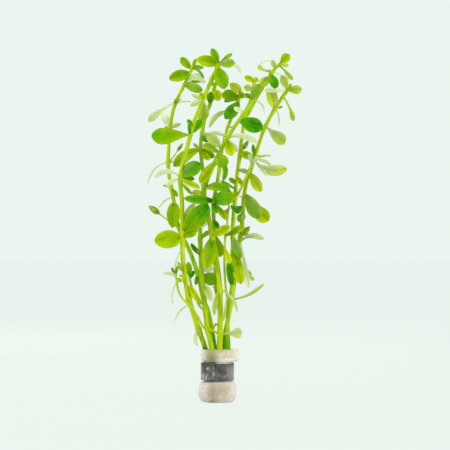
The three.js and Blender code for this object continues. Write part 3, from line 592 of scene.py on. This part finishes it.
def blade(bm, layers, base, tip, spec):
    """A grid bent along its midrib, folded, rippled and made thick."""
    length = (tip - base).length
    along = (tip - base).normalized()
    face = face_of(along, spec["roll"])
    left = Vector((-along.z, 0, along.x))
    seed = spec["root"] + 3 * tip.x + 7 * tip.z
    curl = length * mix(*CURL, draw(seed))
    fold = math.radians(mix(*FOLD, draw(seed + 1)))
    broad = spec["width"] > BROAD_BLADE
    wave = BROAD_WAVE if broad else SLIM_WAVE
    phase = math.tau * draw(seed + 2)
    arc = (base, (base + tip) / 2 + left * 2 * spec["bow"] + face * curl, tip)
    columns, rows = BROAD_GRID if broad else SLIM_GRID
    grid = bmesh.ops.create_grid(bm, x_segments=columns, y_segments=rows, size=0.5)["verts"]
    for vertex in grid:
        x, y = 2 * vertex.co.x, vertex.co.y
        share = 1 - (0.5 - y) ** ROW_CROWDING
        for loop in vertex.link_loops:
            loop[layers["uv"]].uv = (0.5 + x / 2, share)
        heading = direction(on_arc, arc, share)
        side = heading.cross(face).normalized()
        # Painted sheen: the half of a blade that is turned to the sky is paler.
        painted_sheen_side = smooth_step(x * side.z, *SHEEN_SIDE_TURN)
        vertex[layers["tone"]] = mix(*spec["tone"], share) + EDGE_TONE * (abs(x) - 0.5)
        pale = mix(*spec["pale"], share)
        vertex[layers["pale"]] = mix(pale**2, pale, painted_sheen_side)
        normal = side.cross(heading)
        half = half_width(spec, share)
        ripple = wave * math.sin(WAVE_TURNS * share + phase + x)
        lift = abs(x) * (half * math.sin(fold) + ripple)
        lift -= RIB_DEPTH * math.exp(-((x / RIB_REACH) ** 2)) * min(half / RIB_FULL, 1)
        vertex.co = on_arc(arc, share) + side * x * half * math.cos(fold) + normal * lift
    faces = list({f for v in grid for f in v.link_faces})
    bmesh.ops.recalc_face_normals(bm, faces=faces)
    bmesh.ops.solidify(bm, geom=faces, thickness=BLADE_THICKNESS)


# %% [markdown]
# ## Buds
# A flower bud hangs on a thin stalk in the corner of a leaf. It is a rod too, whose radius grows from
# the stalk's into a pointed egg.

# %% Buds
STALK_RADIUS = 0.45
BUD_STEPS = 14
BUD_POINT = 0.8


def bud_rod(bm, base, tip, spec):
    """A straight stalk that ends in a bud."""
    swell = spec["bulge"] / 2 - STALK_RADIUS

    def radius_at(share):
        way = max(0, (share - 1 + spec["share"]) / spec["share"])
        return STALK_RADIUS + swell * math.sin(math.pi * way**BUD_POINT)

    return rod(bm, on_line, [base, tip], radius_at, STEM_SIDES, BUD_STEPS)


# %% [markdown]
# ## Whole stems
# One mesh holds a stem with its shoots, leaves and buds, because they grow as one. Numbers on its
# vertices carry the colour. `tone` says how light the green is, and `pale` how much whitish colour and
# painted sheen a leaf has.
# `brown` is 1 at a stem's cut end and where a leaf was torn off. A stem has a tone at the plug, one in
# its middle and one at its top. The tone at the plug paints the shade that the stems cast on each other
# there.

# %% Rear leaves and whole stems
AWAY_LENGTH = (8, 13)
AWAY_WIDTH = (3.8, 6)
AWAY_SWING = (4, 20)
AWAY_RISE = (0, 14)
# A stem's first tone, at the plug, is painted shade from the stems round it.
STEM_TONES = {
    "front_left": (0.6, 0.75, 0.5), "back_left": (-0.1, 0.3, 0.6), "centre_left": (0.5, 0.55, 0.35),
    "centre": (0.65, 0.7, 0.4), "centre_back": (-0.1, 0.4, 0.6), "right_front": (-0.15, 0.55, 0.6),
    "right": (-0.2, 0.45, 0.55),
}
FOOT_CHANGE = (PLUG_TOP, 50)
TOP_CHANGE = (90, 130)
OWN_TONE = (0.4, 0.7)
YOUNG_TONE = 0.15
YOUNG = (150, 215)
SPOTS = {"back_left": ((-27.2, 188.4), 1.3), "front_left": ((-8.6, 33.5), 1.7)}
CUT_REACH = 1.5
STEM_SLOT, LEAF_SLOT, BUD_SLOT = 0, 1, 2


def away_leaves(spec, points):
    """Rear leaves point away from the viewer, a little up, and swing left and right in turn."""
    for i, root in enumerate(spec["away"]):
        base = on_line(points, share_at(points, root))
        chance = draw(root + base.x)
        swing = math.radians(mix(*AWAY_SWING, chance)) * (-1 if i % 2 else 1)
        rise = math.radians(mix(*AWAY_RISE, draw(root + base.y)))
        way = Vector((0, math.cos(rise), math.sin(rise)))
        way.rotate(Matrix.Rotation(swing, 3, "Z"))
        tip = base + way * mix(*AWAY_LENGTH, chance)
        yield base, tip, leaf(root, *tip, mix(*AWAY_WIDTH, chance))


def as_pair(value):
    return value if isinstance(value, tuple) else (value, value)


def toned(spec, base, tip):
    """A leaf's row with its tone and pallor at foot and tip. One that has no tone draws its own."""
    tone, pale = spec["tone"], spec["pale"]
    if tone is None:
        tone = mix(*OWN_TONE, draw(base.z + 5 * tip.x + tip.z)) + YOUNG_TONE * smooth_step(tip.z, *YOUNG)
    return spec | {"tone": as_pair(tone), "pale": as_pair(pale)}


def leafy_stem(bm, layers, spec, tones, spot, rooted):
    """A stem with all that grows from it. `rooted` is false for a shoot, which starts on its stem."""
    route = spec["route"]
    if rooted:
        route = foot_of(route, STEM_FOOT) + route
    points = [place(p) for p in route]
    rise = points[-1].z - points[0].z
    foot_tone, middle_tone, top_tone = tones
    skin = rod(bm, on_line, points, stem_radius(spec, points), STEM_SIDES, round(rise / STEM_STEP))
    for vertex in skin:
        x, _, z = vertex.co
        low_tone = mix(foot_tone, middle_tone, smooth_step(z, *FOOT_CHANGE))
        vertex[layers["tone"]] = mix(low_tone, top_tone, smooth_step(z, *TOP_CHANGE))
        vertex[layers["brown"]] = math.exp(-(((z - STEM_FOOT) / CUT_REACH) ** 2))
        if spot:
            centre, reach = spot
            vertex[layers["brown"]] += math.exp(-((math.dist(centre, (x, z)) / reach) ** 2))
    for row in spec.get("buds", []):
        base, tip = root_of(row, points), place(row["tip"])
        for vertex in bud_rod(bm, base, tip, row):
            vertex[layers["tone"]] = top_tone
            for face in vertex.link_faces:
                left_over = (tip - face.calc_center_median()).length / (tip - base).length
                face.material_index = BUD_SLOT if left_over < row["share"] else STEM_SLOT
    blades = [(root_of(row, points), place(row["tip"]), row) for row in spec["leaves"]]
    blades += away_leaves(spec, points) if rooted else []
    for base, tip, row in blades:
        older = set(bm.faces)
        blade(bm, layers, base, tip, toned(row, base, tip))
        for face in set(bm.faces) - older:
            face.material_index = LEAF_SLOT
    for shoot in spec.get("shoots", []):
        leafy_stem(bm, layers, shoot, tones, None, False)


# %% [markdown]
# ## Fresh leaf, stem and bud
# A living leaf is a thin, wet, waxy skin over soft green cells. Light goes through it, so a blade with
# the light behind it glows yellow-green. A plain `Principled` shader gives the waxy skin and a
# `Translucent` one beside it the glow. A stem is too thick to glow: light sinks a little way into its
# streaky skin and comes out softened. A bud's skin is duller, with lighter and darker patches. Short
# functions add the nodes that all these materials share.

# %% Nodes that the materials share
def per_mm(size):
    """The scale of a pattern whose marks are size millimetres across."""
    return 1 / (size * MM)


def clouds(tree, spot, size, detail):
    """Soft noise whose marks are size millimetres across."""
    inputs = {"Vector": spot, "Scale": per_mm(size), "Detail": detail}
    return add(tree, "TexNoise", inputs).outputs["Fac"]


def maths(tree, operation, *values):
    return add(tree, "Math", dict(enumerate(values)), operation=operation).outputs[0]


def ranged(tree, value, old, new=(0, 1)):
    """The value with its old range stretched to the new one, and cut off at both ends."""
    ends = {"From Min": old[0], "From Max": old[1], "To Min": new[0], "To Max": new[1]}
    return add(tree, "MapRange", {"Value": value} | ends).outputs[0]


def ramped(tree, value, stops):
    return add(tree, "ValToRGB", {"Fac": value}, stops=stops).outputs["Color"]


def covered(tree, share, colour, hex_colour):
    """The colour with a share of another one over it."""
    inputs = {0: share, 6: colour, 7: paint(hex_colour)}
    return add(tree, "Mix", inputs, data_type="RGBA").outputs[2]


def relief(tree, height, strength, depth):
    """Bumps up to depth millimetres deep, which only bend the light."""
    inputs = {"Height": height, "Strength": strength, "Distance": depth * MM}
    return add(tree, "Bump", inputs).outputs[0]


# %% Leaf material
GREENS = [
    (0, "#348C00"), (0.15, "#54A800"), (0.3, "#74B200"), (0.45, "#8CB600"),
    (0.6, "#A2C000"), (0.8, "#B8CC00"), (1, "#CED800"),
]


def leaf_material():
    material, tree, output = new_material("fresh hyssop leaf")
    spot = add(tree, "TexCoord").outputs["Object"]
    tone = add(tree, "Attribute", attribute_name="tone").outputs["Fac"]
    pale = add(tree, "Attribute", attribute_name="pale").outputs["Fac"]
    grown_way = add(tree, "UVMap", uv_map="blade").outputs["UV"]
    across = add(tree, "SeparateXYZ", {0: grown_way}).outputs["X"]
    shift = ranged(tree, clouds(tree, spot, 5, 3), (0.3, 0.7), (-0.14, 0.14))
    green = ramped(tree, maths(tree, "ADD", tone, shift), GREENS)
    off_rib = maths(tree, "ABSOLUTE", maths(tree, "SUBTRACT", across, 0.5))
    faint = ranged(tree, off_rib, (0.06, 0.01), (0, 0.35))
    # The pale colour is partly a leaf's own whitish green and partly a painted sheen.
    whole = covered(tree, pale, covered(tree, faint, green, "#A8C830"), "#E6E8D2")
    cells = add(tree, "TexVoronoi", {"Vector": spot, "Scale": per_mm(0.5)}).outputs["Distance"]
    waxy = {"Base Color": whole, "Roughness": 0.45, "Specular IOR Level": 0.05}
    skin = add(tree, "BsdfPrincipled", waxy | {"Normal": relief(tree, cells, 0.15, 0.1)}).outputs[0]
    glow = add(tree, "BsdfTranslucent", {"Color": whole}).outputs[0]
    both = add(tree, "MixShader", {0: 0.4, 1: skin, 2: glow}).outputs[0]
    tree.links.new(both, output.inputs["Surface"])
    return material


# %% Stem and bud materials
STEM_GREENS = [(0, "#5A9600"), (0.3, "#86AC04"), (0.6, "#A2B80A"), (1, "#BCC812")]
BUD_OLIVES = [(0.35, "#648000"), (0.5, "#829808"), (0.65, "#A2AC20")]


def stem_material():
    material, tree, output = new_material("soft green stem skin")
    spot = add(tree, "TexCoord").outputs["Object"]
    brown = add(tree, "Attribute", attribute_name="brown").outputs["Fac"]
    tone = add(tree, "Attribute", attribute_name="tone").outputs["Fac"]
    long_marks = add(tree, "Mapping", {"Vector": spot, "Scale": (1, 1, 0.08)}).outputs[0]
    streak = clouds(tree, long_marks, 1.5, 4)
    shift = ranged(tree, streak, (0.3, 0.7), (-0.25, 0.25))
    green = ramped(tree, maths(tree, "ADD", tone, shift), STEM_GREENS)
    skin = {
        "Base Color": covered(tree, brown, green, "#6E5210"),
        "Roughness": 0.45,
        "Specular IOR Level": 0.06,
        "Normal": relief(tree, streak, 0.2, 0.2),
        "Subsurface Weight": 0.15,
        "Subsurface Radius": (0.6, 1.0, 0.1),
        "Subsurface Scale": MM,
    }
    tree.links.new(add(tree, "BsdfPrincipled", skin).outputs[0], output.inputs["Surface"])
    return material


def bud_material():
    material, tree, output = new_material("olive bud skin")
    cloud = clouds(tree, add(tree, "TexCoord").outputs["Object"], 2.5, 3)
    dull = {"Roughness": 0.55, "Specular IOR Level": 0.3, "Normal": relief(tree, cloud, 0.3, 0.2)}
    skin = dull | {"Base Color": ramped(tree, cloud, BUD_OLIVES)}
    tree.links.new(add(tree, "BsdfPrincipled", skin).outputs[0], output.inputs["Surface"])
    return material


# %% Grow the stems
SKINS = [stem_material(), leaf_material(), bud_material()]


def dressed_stem(name, spec):
    bm = bmesh.new()
    layers = {key: bm.verts.layers.float.new(key) for key in ("tone", "pale", "brown")}
    layers["uv"] = bm.loops.layers.uv.new("blade")
    leafy_stem(bm, layers, spec, STEM_TONES[name], SPOTS.get(name), True)
    return finished(bm, "hyssop_" + name, SKINS, "leaf", "leafy_stem_" + name)


for name, spec in STEMS.items():
    dressed_stem(name, spec)

# %% [markdown]
# ## The foam plug
# The plug is a strip of soft open foam rolled up round the cut ends. The band squeezes its waist, so
# that it bulges above and below. One profile spun round gives the bulges. Its radius grows by a
# millimetre round the turn, so the outer end of the strip stands proud at a seam. The stems stand in
# holes, which a `Boolean` modifier cuts from rods a little wider than the stems.

# %% Foam shape
PLUG_WAIST = 8.9
PLUG_PROFILE = [
    (0, 0), (9, 0), (10.4, 1), (11.6, 3.2), (12.2, 6.2), (12, 9.4), (11.1, 11.9), (10, 12.8),
    (PLUG_WAIST, 13), (PLUG_WAIST, 25.2), (10.6, 25.5), (11.8, 26.8), (12.1, 29.6), (11.8, 31.8),
    (10.9, PLUG_TOP), (0, PLUG_TOP),
]
PLUG_SIDES = 96
ROLL_STEP = 1
ROLL_SEAM = math.radians(-95)
TOP_LEAN = 1.5
LUMP_SIZE = 2.5
LUMP_HEIGHT = 0.35
HOLE_CLEARANCE = 0.1
HOLE_OVERRUN = 2
HOLE_STEPS = 12
PROFILE_CUTS = 3
SAME_PLACE = 0.001
ON_AXIS = 0.01


def rolled_foam():
    """The plug's profile spun round, with the roll's seam, its lumps and its leaning top."""
    bm = bmesh.new()
    line = [bm.verts.new((r, 0, z)) for r, z in PLUG_PROFILE]
    edges = [bm.edges.new(pair) for pair in zip(line, line[1:])]
    bmesh.ops.subdivide_edges(bm, edges=edges, cuts=PROFILE_CUTS)
    outline = bm.verts[:] + bm.edges[:]
    turn = {"axis": (0, 0, 1), "cent": (0, 0, 0), "angle": math.tau, "steps": PLUG_SIDES}
    bmesh.ops.spin(bm, geom=outline, use_merge=True, **turn)
    bmesh.ops.remove_doubles(bm, verts=bm.verts[:], dist=SAME_PLACE)
    every_way = {"use_axis_x": True, "use_axis_y": True, "use_axis_z": True}
    bmesh.ops.smooth_vert(bm, verts=bm.verts[:], factor=0.5, **every_way)
    for vertex in bm.verts:
        x, y, z = vertex.co
        radius = math.hypot(x, y)
        if radius < ON_AXIS:
            continue
        turn = (math.atan2(y, x) - ROLL_SEAM) / math.tau
        loose = min(max((radius - PLUG_WAIST) / 2, 0), 1)
        grown = radius + ROLL_STEP * loose * (turn - math.floor(turn) - 0.5)
        grown += noise.noise(vertex.co / LUMP_SIZE) * LUMP_HEIGHT * loose
        lean = TOP_LEAN * loose if z > PLUG_TOP / 2 else 0
        vertex.co = (x / radius * grown + lean, y / radius * grown, z)
    bmesh.ops.recalc_face_normals(bm, faces=bm.faces[:])
    return bm


def stem_holes():
    """Rods along the stems' lower ends, a little wider than the stems."""
    bm = bmesh.new()
    for spec in STEMS.values():
        way = [Vector(p) for p in foot_of(spec["route"], -HOLE_OVERRUN)]
        way += [place(p) for p in spec["route"][:2]]
        radius = spec["radii"][0] + HOLE_CLEARANCE
        rod(bm, on_line, way, lambda share: radius, STEM_SIDES, HOLE_STEPS)
    bmesh.ops.recalc_face_normals(bm, faces=bm.faces[:])
    return bm


def carved(bm, cutter):
    """The first bmesh with the second one cut out of it."""
    pair = []
    for each in (bm, cutter):
        mesh = bpy.data.meshes.new("carving")
        each.to_mesh(mesh)
        each.free()
        pair.append(bpy.data.objects.new("carving", mesh))
        bpy.context.scene.collection.objects.link(pair[-1])
    cut = pair[0].modifiers.new("holes", "BOOLEAN")
    cut.operation, cut.solver, cut.object = "DIFFERENCE", "EXACT", pair[1]
    result = bmesh.new()
    result.from_object(pair[0], bpy.context.evaluated_depsgraph_get())
    for each in pair:
        mesh = each.data
        bpy.data.objects.remove(each)
        bpy.data.meshes.remove(mesh)
    return result


# %% [markdown]
# ## Foam material
# Foam rubber is matt, with open pores that swallow light, and each pore's middle has painted shade.
# Used foam isn't one colour either, so soft stains lie where the photograph shows them: water and algae
# where the stems go in. Painted light and shade lie on it too: paler sides where light falls, a pale
# patch that lightens the shade under the upper bulge, and painted shade along the seam.

# %% Foam material
FOAM_CREAMS = [(0.3, "#AEA296"), (0.5, "#C2B8AE"), (0.7, "#D4CCC4")]


def near(tree, spot, centre, reach):
    """1 at a place in millimetres, falling to 0 at the reach along x, y and z."""
    offset = add(tree, "VectorMath", {0: spot, 1: Vector(centre) * MM}, operation="SUBTRACT").outputs[0]
    scale = [per_mm(size) for size in reach]
    scaled = add(tree, "VectorMath", {0: offset, 1: scale}, operation="MULTIPLY").outputs[0]
    length = add(tree, "VectorMath", {0: scaled}, operation="LENGTH").outputs["Value"]
    return ranged(tree, length, (1, 0.2))


def patched(tree, spot, colour, patches, flecks=None):
    """The colour with soft patches laid over it, broken up by flecks if there are any."""
    for centre, reach, patch_colour in patches:
        share = near(tree, spot, centre, reach)
        if flecks:
            share = maths(tree, "MULTIPLY", share, flecks)
        colour = covered(tree, share, colour, patch_colour)
    return colour


FOAM_STAINS_LIGHT_AND_SHADE = [
    # Painted light: paler sides where light falls, and a pale patch that lightens the shade under the upper
    # bulge.
    ((-11, -4, 29), (6, 10, 9), "#CBCACC"),
    ((12.5, -3, 29), (8, 10, 9), "#D4CAC2"),
    ((5, -11, 24.5), (12, 9, 4), "#F6F0E4"),
    ((12, -3, 7), (7, 10, 10), "#CEC6C6"),
    ((-11, -5, 6), (6, 10, 10), "#CFC4C2"),
    ((3, -12, 9), (7, 6, 7), "#A89888"),
    ((-4.2, -12, 27.5), (6, 8, 11), "#868A5A"),
    ((-2, -11, 34), (14, 9, 4.5), "#9C9C50"),
    # Painted shade along the seam of the roll.
    ((-3, -12, 7), (5, 6, 11), "#A0967C"),
    ((-3.8, -11, 0.3), (3.5, 7, 2.5), "#9A8450"),
]


def foam_material():
    material, tree, output = new_material("open cell foam")
    spot = add(tree, "TexCoord").outputs["Object"]
    pores = add(tree, "TexVoronoi", {"Vector": spot, "Scale": per_mm(0.7)}).outputs["Distance"]
    cream = ramped(tree, clouds(tree, spot, 1.2, 5), FOAM_CREAMS)
    colour = patched(tree, spot, cream, FOAM_STAINS_LIGHT_AND_SHADE)
    # Painted shade: each pore is darker towards its middle, where light doesn't reach.
    colour = covered(tree, ranged(tree, pores, (0.45, 0), (0, 0.8)), colour, "#8F8370")
    matt = {"Roughness": 0.95, "Specular IOR Level": 0.2, "Normal": relief(tree, pores, 0.55, 0.5)}
    skin = add(tree, "BsdfPrincipled", matt | {"Base Color": colour}).outputs[0]
    tree.links.new(skin, output.inputs["Surface"])
    return material


foam_shape = carved(rolled_foam(), stem_holes())
foam = finished(foam_shape, "rolled_foam_plug", [foam_material()], "foam", "foam_plug")

# %% [markdown]
# ## The weight band
# A soft metal strip is wrapped by hand round the foam. It laps over itself at the front. A tube would
# have no ends, so a long bar is bevelled, cut into steps and wound up instead. Its dull grey skin is
# oxide, which shows no sharp reflections; its broad sheens are painted highlights in its colour, and
# its top edge has painted shade. Where it was scuffed, the bright metal shows, and a light line along
# the lap's end is partly wear and partly a painted highlight.

# %% Band shape
BAND_BASE = 13.3
BAND_WIDTH = 10.8
BAND_THICKNESS = 0.8
BAND_RADIUS = PLUG_WAIST + 0.3
BAND_TURN = math.radians(410)
BAND_END = math.radians(-100)
BAND_LENGTH = 100
BAND_STEPS = 160
LAP_GAP = 0.3
LAP_TURN = math.radians(55)
LAP_SLOPE = math.radians(50)
BAND_RISE = 0.9
EDGE_ROUND = 0.15
DENT_DEPTH = 0.12
DENTS_A_RADIAN = 3
DENT_HEIGHT = 5
HEIGHT_CUTS = 10


def weight_band():
    """A long bar wound up round the plug's waist, its outer end over its inner one."""
    bm = bmesh.new()
    bmesh.ops.create_cube(bm, size=1)
    bmesh.ops.scale(bm, vec=(BAND_LENGTH, BAND_THICKNESS, BAND_WIDTH), verts=bm.verts[:])
    soft = {"segments": 2, "profile": 0.5, "affect": "EDGES", "material": -1}
    bmesh.ops.bevel(bm, geom=bm.edges[:], offset=EDGE_ROUND, **soft)
    long_edges = [e for e in bm.edges if span(e, 0) > BAND_LENGTH / 2]
    bmesh.ops.subdivide_edges(bm, edges=long_edges, cuts=BAND_STEPS)
    tall_edges = [e for e in bm.edges if span(e, 2) > BAND_WIDTH / 2]
    bmesh.ops.subdivide_edges(bm, edges=tall_edges, cuts=HEIGHT_CUTS)
    for vertex in bm.verts:
        x, y, z = vertex.co
        gone = (x / BAND_LENGTH + 0.5) * BAND_TURN
        angle = BAND_END - gone
        lap = 1 - smooth_step(gone, LAP_TURN, LAP_TURN + LAP_SLOPE)
        dent = DENT_DEPTH * noise.noise(Vector((gone * DENTS_A_RADIAN, z / DENT_HEIGHT, 0)))
        radius = BAND_RADIUS + BAND_THICKNESS / 2 + y + lap * (BAND_THICKNESS + LAP_GAP) + dent
        rise = BAND_BASE + BAND_WIDTH / 2 + BAND_RISE * (1 - gone / BAND_TURN)
        vertex.co = (radius * math.cos(angle), radius * math.sin(angle), z + rise)
    bmesh.ops.recalc_face_normals(bm, faces=bm.faces[:])
    return bm


# %% Band material
BAND_GREYS = [(0.32, "#434141"), (0.5, "#524F50"), (0.66, "#646162")]
# Painted highlights: broad sheens on the band's right and left sides.
BAND_PAINTED_SHEEN = [((13, -3, 18), (8.5, 14, 13), "#979494"), ((-12, -1, 17), (5, 9, 11), "#949292")]
BAND_SCUFFS_AND_EDGE_HIGHLIGHT = [
    ((-8.6, -8, 16), (3.6, 7, 3.4), "#DCDCE4"),
    ((-6.8, -10, 21.4), (2, 4, 1.6), "#C0C0C0"),
    # A light line along the lap's end edge: partly wear, partly a painted highlight over the gap's shadow.
    ((-2.2, -11, 18.5), (1.8, 4, 5.5), "#A8A8AC"),
]


def band_material():
    material, tree, output = new_material("dull rolled weight metal")
    spot = add(tree, "TexCoord").outputs["Object"]
    brushed = add(tree, "Mapping", {"Vector": spot, "Scale": (1, 1, 0.35)}).outputs[0]
    grain = clouds(tree, brushed, 0.8, 4)
    worn = maths(tree, "SUBTRACT", maths(tree, "ADD", clouds(tree, spot, 4, 6), grain), 0.5)
    grey = patched(tree, spot, ramped(tree, worn, BAND_GREYS), BAND_PAINTED_SHEEN)
    # Painted shade: the band darkens towards its top edge, below the foam's upper bulge.
    height = add(tree, "SeparateXYZ", {0: spot}).outputs["Z"]
    shade = ranged(tree, height, (21.5 * MM, 24.5 * MM), (0, 0.7))
    top_shaded = covered(tree, shade, grey, "#3A3B36")
    whole = patched(tree, spot, top_shaded, BAND_SCUFFS_AND_EDGE_HIGHLIGHT, ranged(tree, grain, (0.42, 0.66)))
    dull = {"Base Color": whole, "Metallic": 0.6, "Roughness": 0.55}
    skin = add(tree, "BsdfPrincipled", dull | {"Normal": relief(tree, grain, 0.25, 0.2)}).outputs[0]
    tree.links.new(skin, output.inputs["Surface"])
    return material


finished(weight_band(), "weight_strip", [band_material()], "weight_metal", "weight_band")

# %% [markdown]
# ## Floor, light and camera
# The photograph shows the bunch upright from straight ahead, in soft white light. Its left edges are
# a little brighter than its right ones.

# %% Floor
BACKDROP = "#EBF5EF"
FLOOR_RADIUS_M = 6
OWN_LIGHT = 0.97


def pale_floor():
    """A wide disc that is nearly all its own light, so that the bunch leaves only a faint shadow."""
    bm = bmesh.new()
    bmesh.ops.create_circle(bm, cap_ends=True, segments=96, radius=FLOOR_RADIUS_M)
    mesh = bpy.data.meshes.new("pale_floor")
    bm.to_mesh(mesh)
    bm.free()
    material, tree, output = new_material("matt pale floor")
    paper = add(tree, "BsdfPrincipled", {"Base Color": paint(BACKDROP), "Roughness": 0.9}).outputs[0]
    own = add(tree, "Emission", {"Color": paint(BACKDROP), "Strength": 0.98}).outputs[0]
    both = add(tree, "MixShader", {0: OWN_LIGHT, 1: paper, 2: own}).outputs[0]
    tree.links.new(both, output.inputs["Surface"])
    mesh.materials.append(material)
    floor = bpy.data.objects.new("pale_floor", mesh)
    bpy.context.scene.collection.objects.link(floor)


pale_floor()

# %% Light
WARM_WHITE = (1.0, 0.96, 0.84)
MIDDLE_M = (0, 0, 0.1)


def soft_box(name, place_m, size, watts):
    """A square soft light that looks at the middle of the bunch."""
    light = bpy.data.lights.new(name, "AREA")
    light.shape = "SQUARE"
    light.size = size
    light.energy = watts
    light.color = WARM_WHITE
    lamp = bpy.data.objects.new(name, light)
    lamp.location = place_m
    aim = Vector(MIDDLE_M) - Vector(place_m)
    lamp.rotation_euler = aim.to_track_quat("-Z", "Y").to_euler()
    bpy.context.scene.collection.objects.link(lamp)


soft_box("left box", (-0.9, -0.9, 0.5), 0.5, 7.5)
soft_box("right box", (0.9, -0.3, 0.3), 0.6, 7)
soft_box("top box", (-0.2, -0.3, 1.2), 0.6, 4)
soft_box("rear box", (-0.4, 0.9, 0.5), 0.6, 9)

world = bpy.data.worlds.new("pale studio")
world.use_nodes = True
world.node_tree.nodes["Background"].inputs["Color"].default_value = paint(BACKDROP)
world.node_tree.nodes["Background"].inputs["Strength"].default_value = 1.0
bpy.context.scene.world = world
bpy.context.scene.view_settings.view_transform = "Standard"

# %% Camera
MM_PER_PIXEL = 0.625
FRAME_PIXELS = 450
CAMERA_DISTANCE = 1.5
AXIS_PIXEL = 218
BASE_PIXEL = 402

camera_data = bpy.data.cameras.new("camera")
camera = bpy.data.objects.new("camera", camera_data)
frame_width = MM_PER_PIXEL * FRAME_PIXELS * MM
camera_data.sensor_width = 36
camera_data.lens = camera_data.sensor_width * CAMERA_DISTANCE / frame_width
camera.location = (
    (FRAME_PIXELS / 2 - AXIS_PIXEL) * MM_PER_PIXEL * MM,
    -CAMERA_DISTANCE,
    (BASE_PIXEL - FRAME_PIXELS / 2) * MM_PER_PIXEL * MM,
)
camera.rotation_euler = (math.pi / 2, 0, 0)
bpy.context.scene.collection.objects.link(camera)
bpy.context.scene.camera = camera
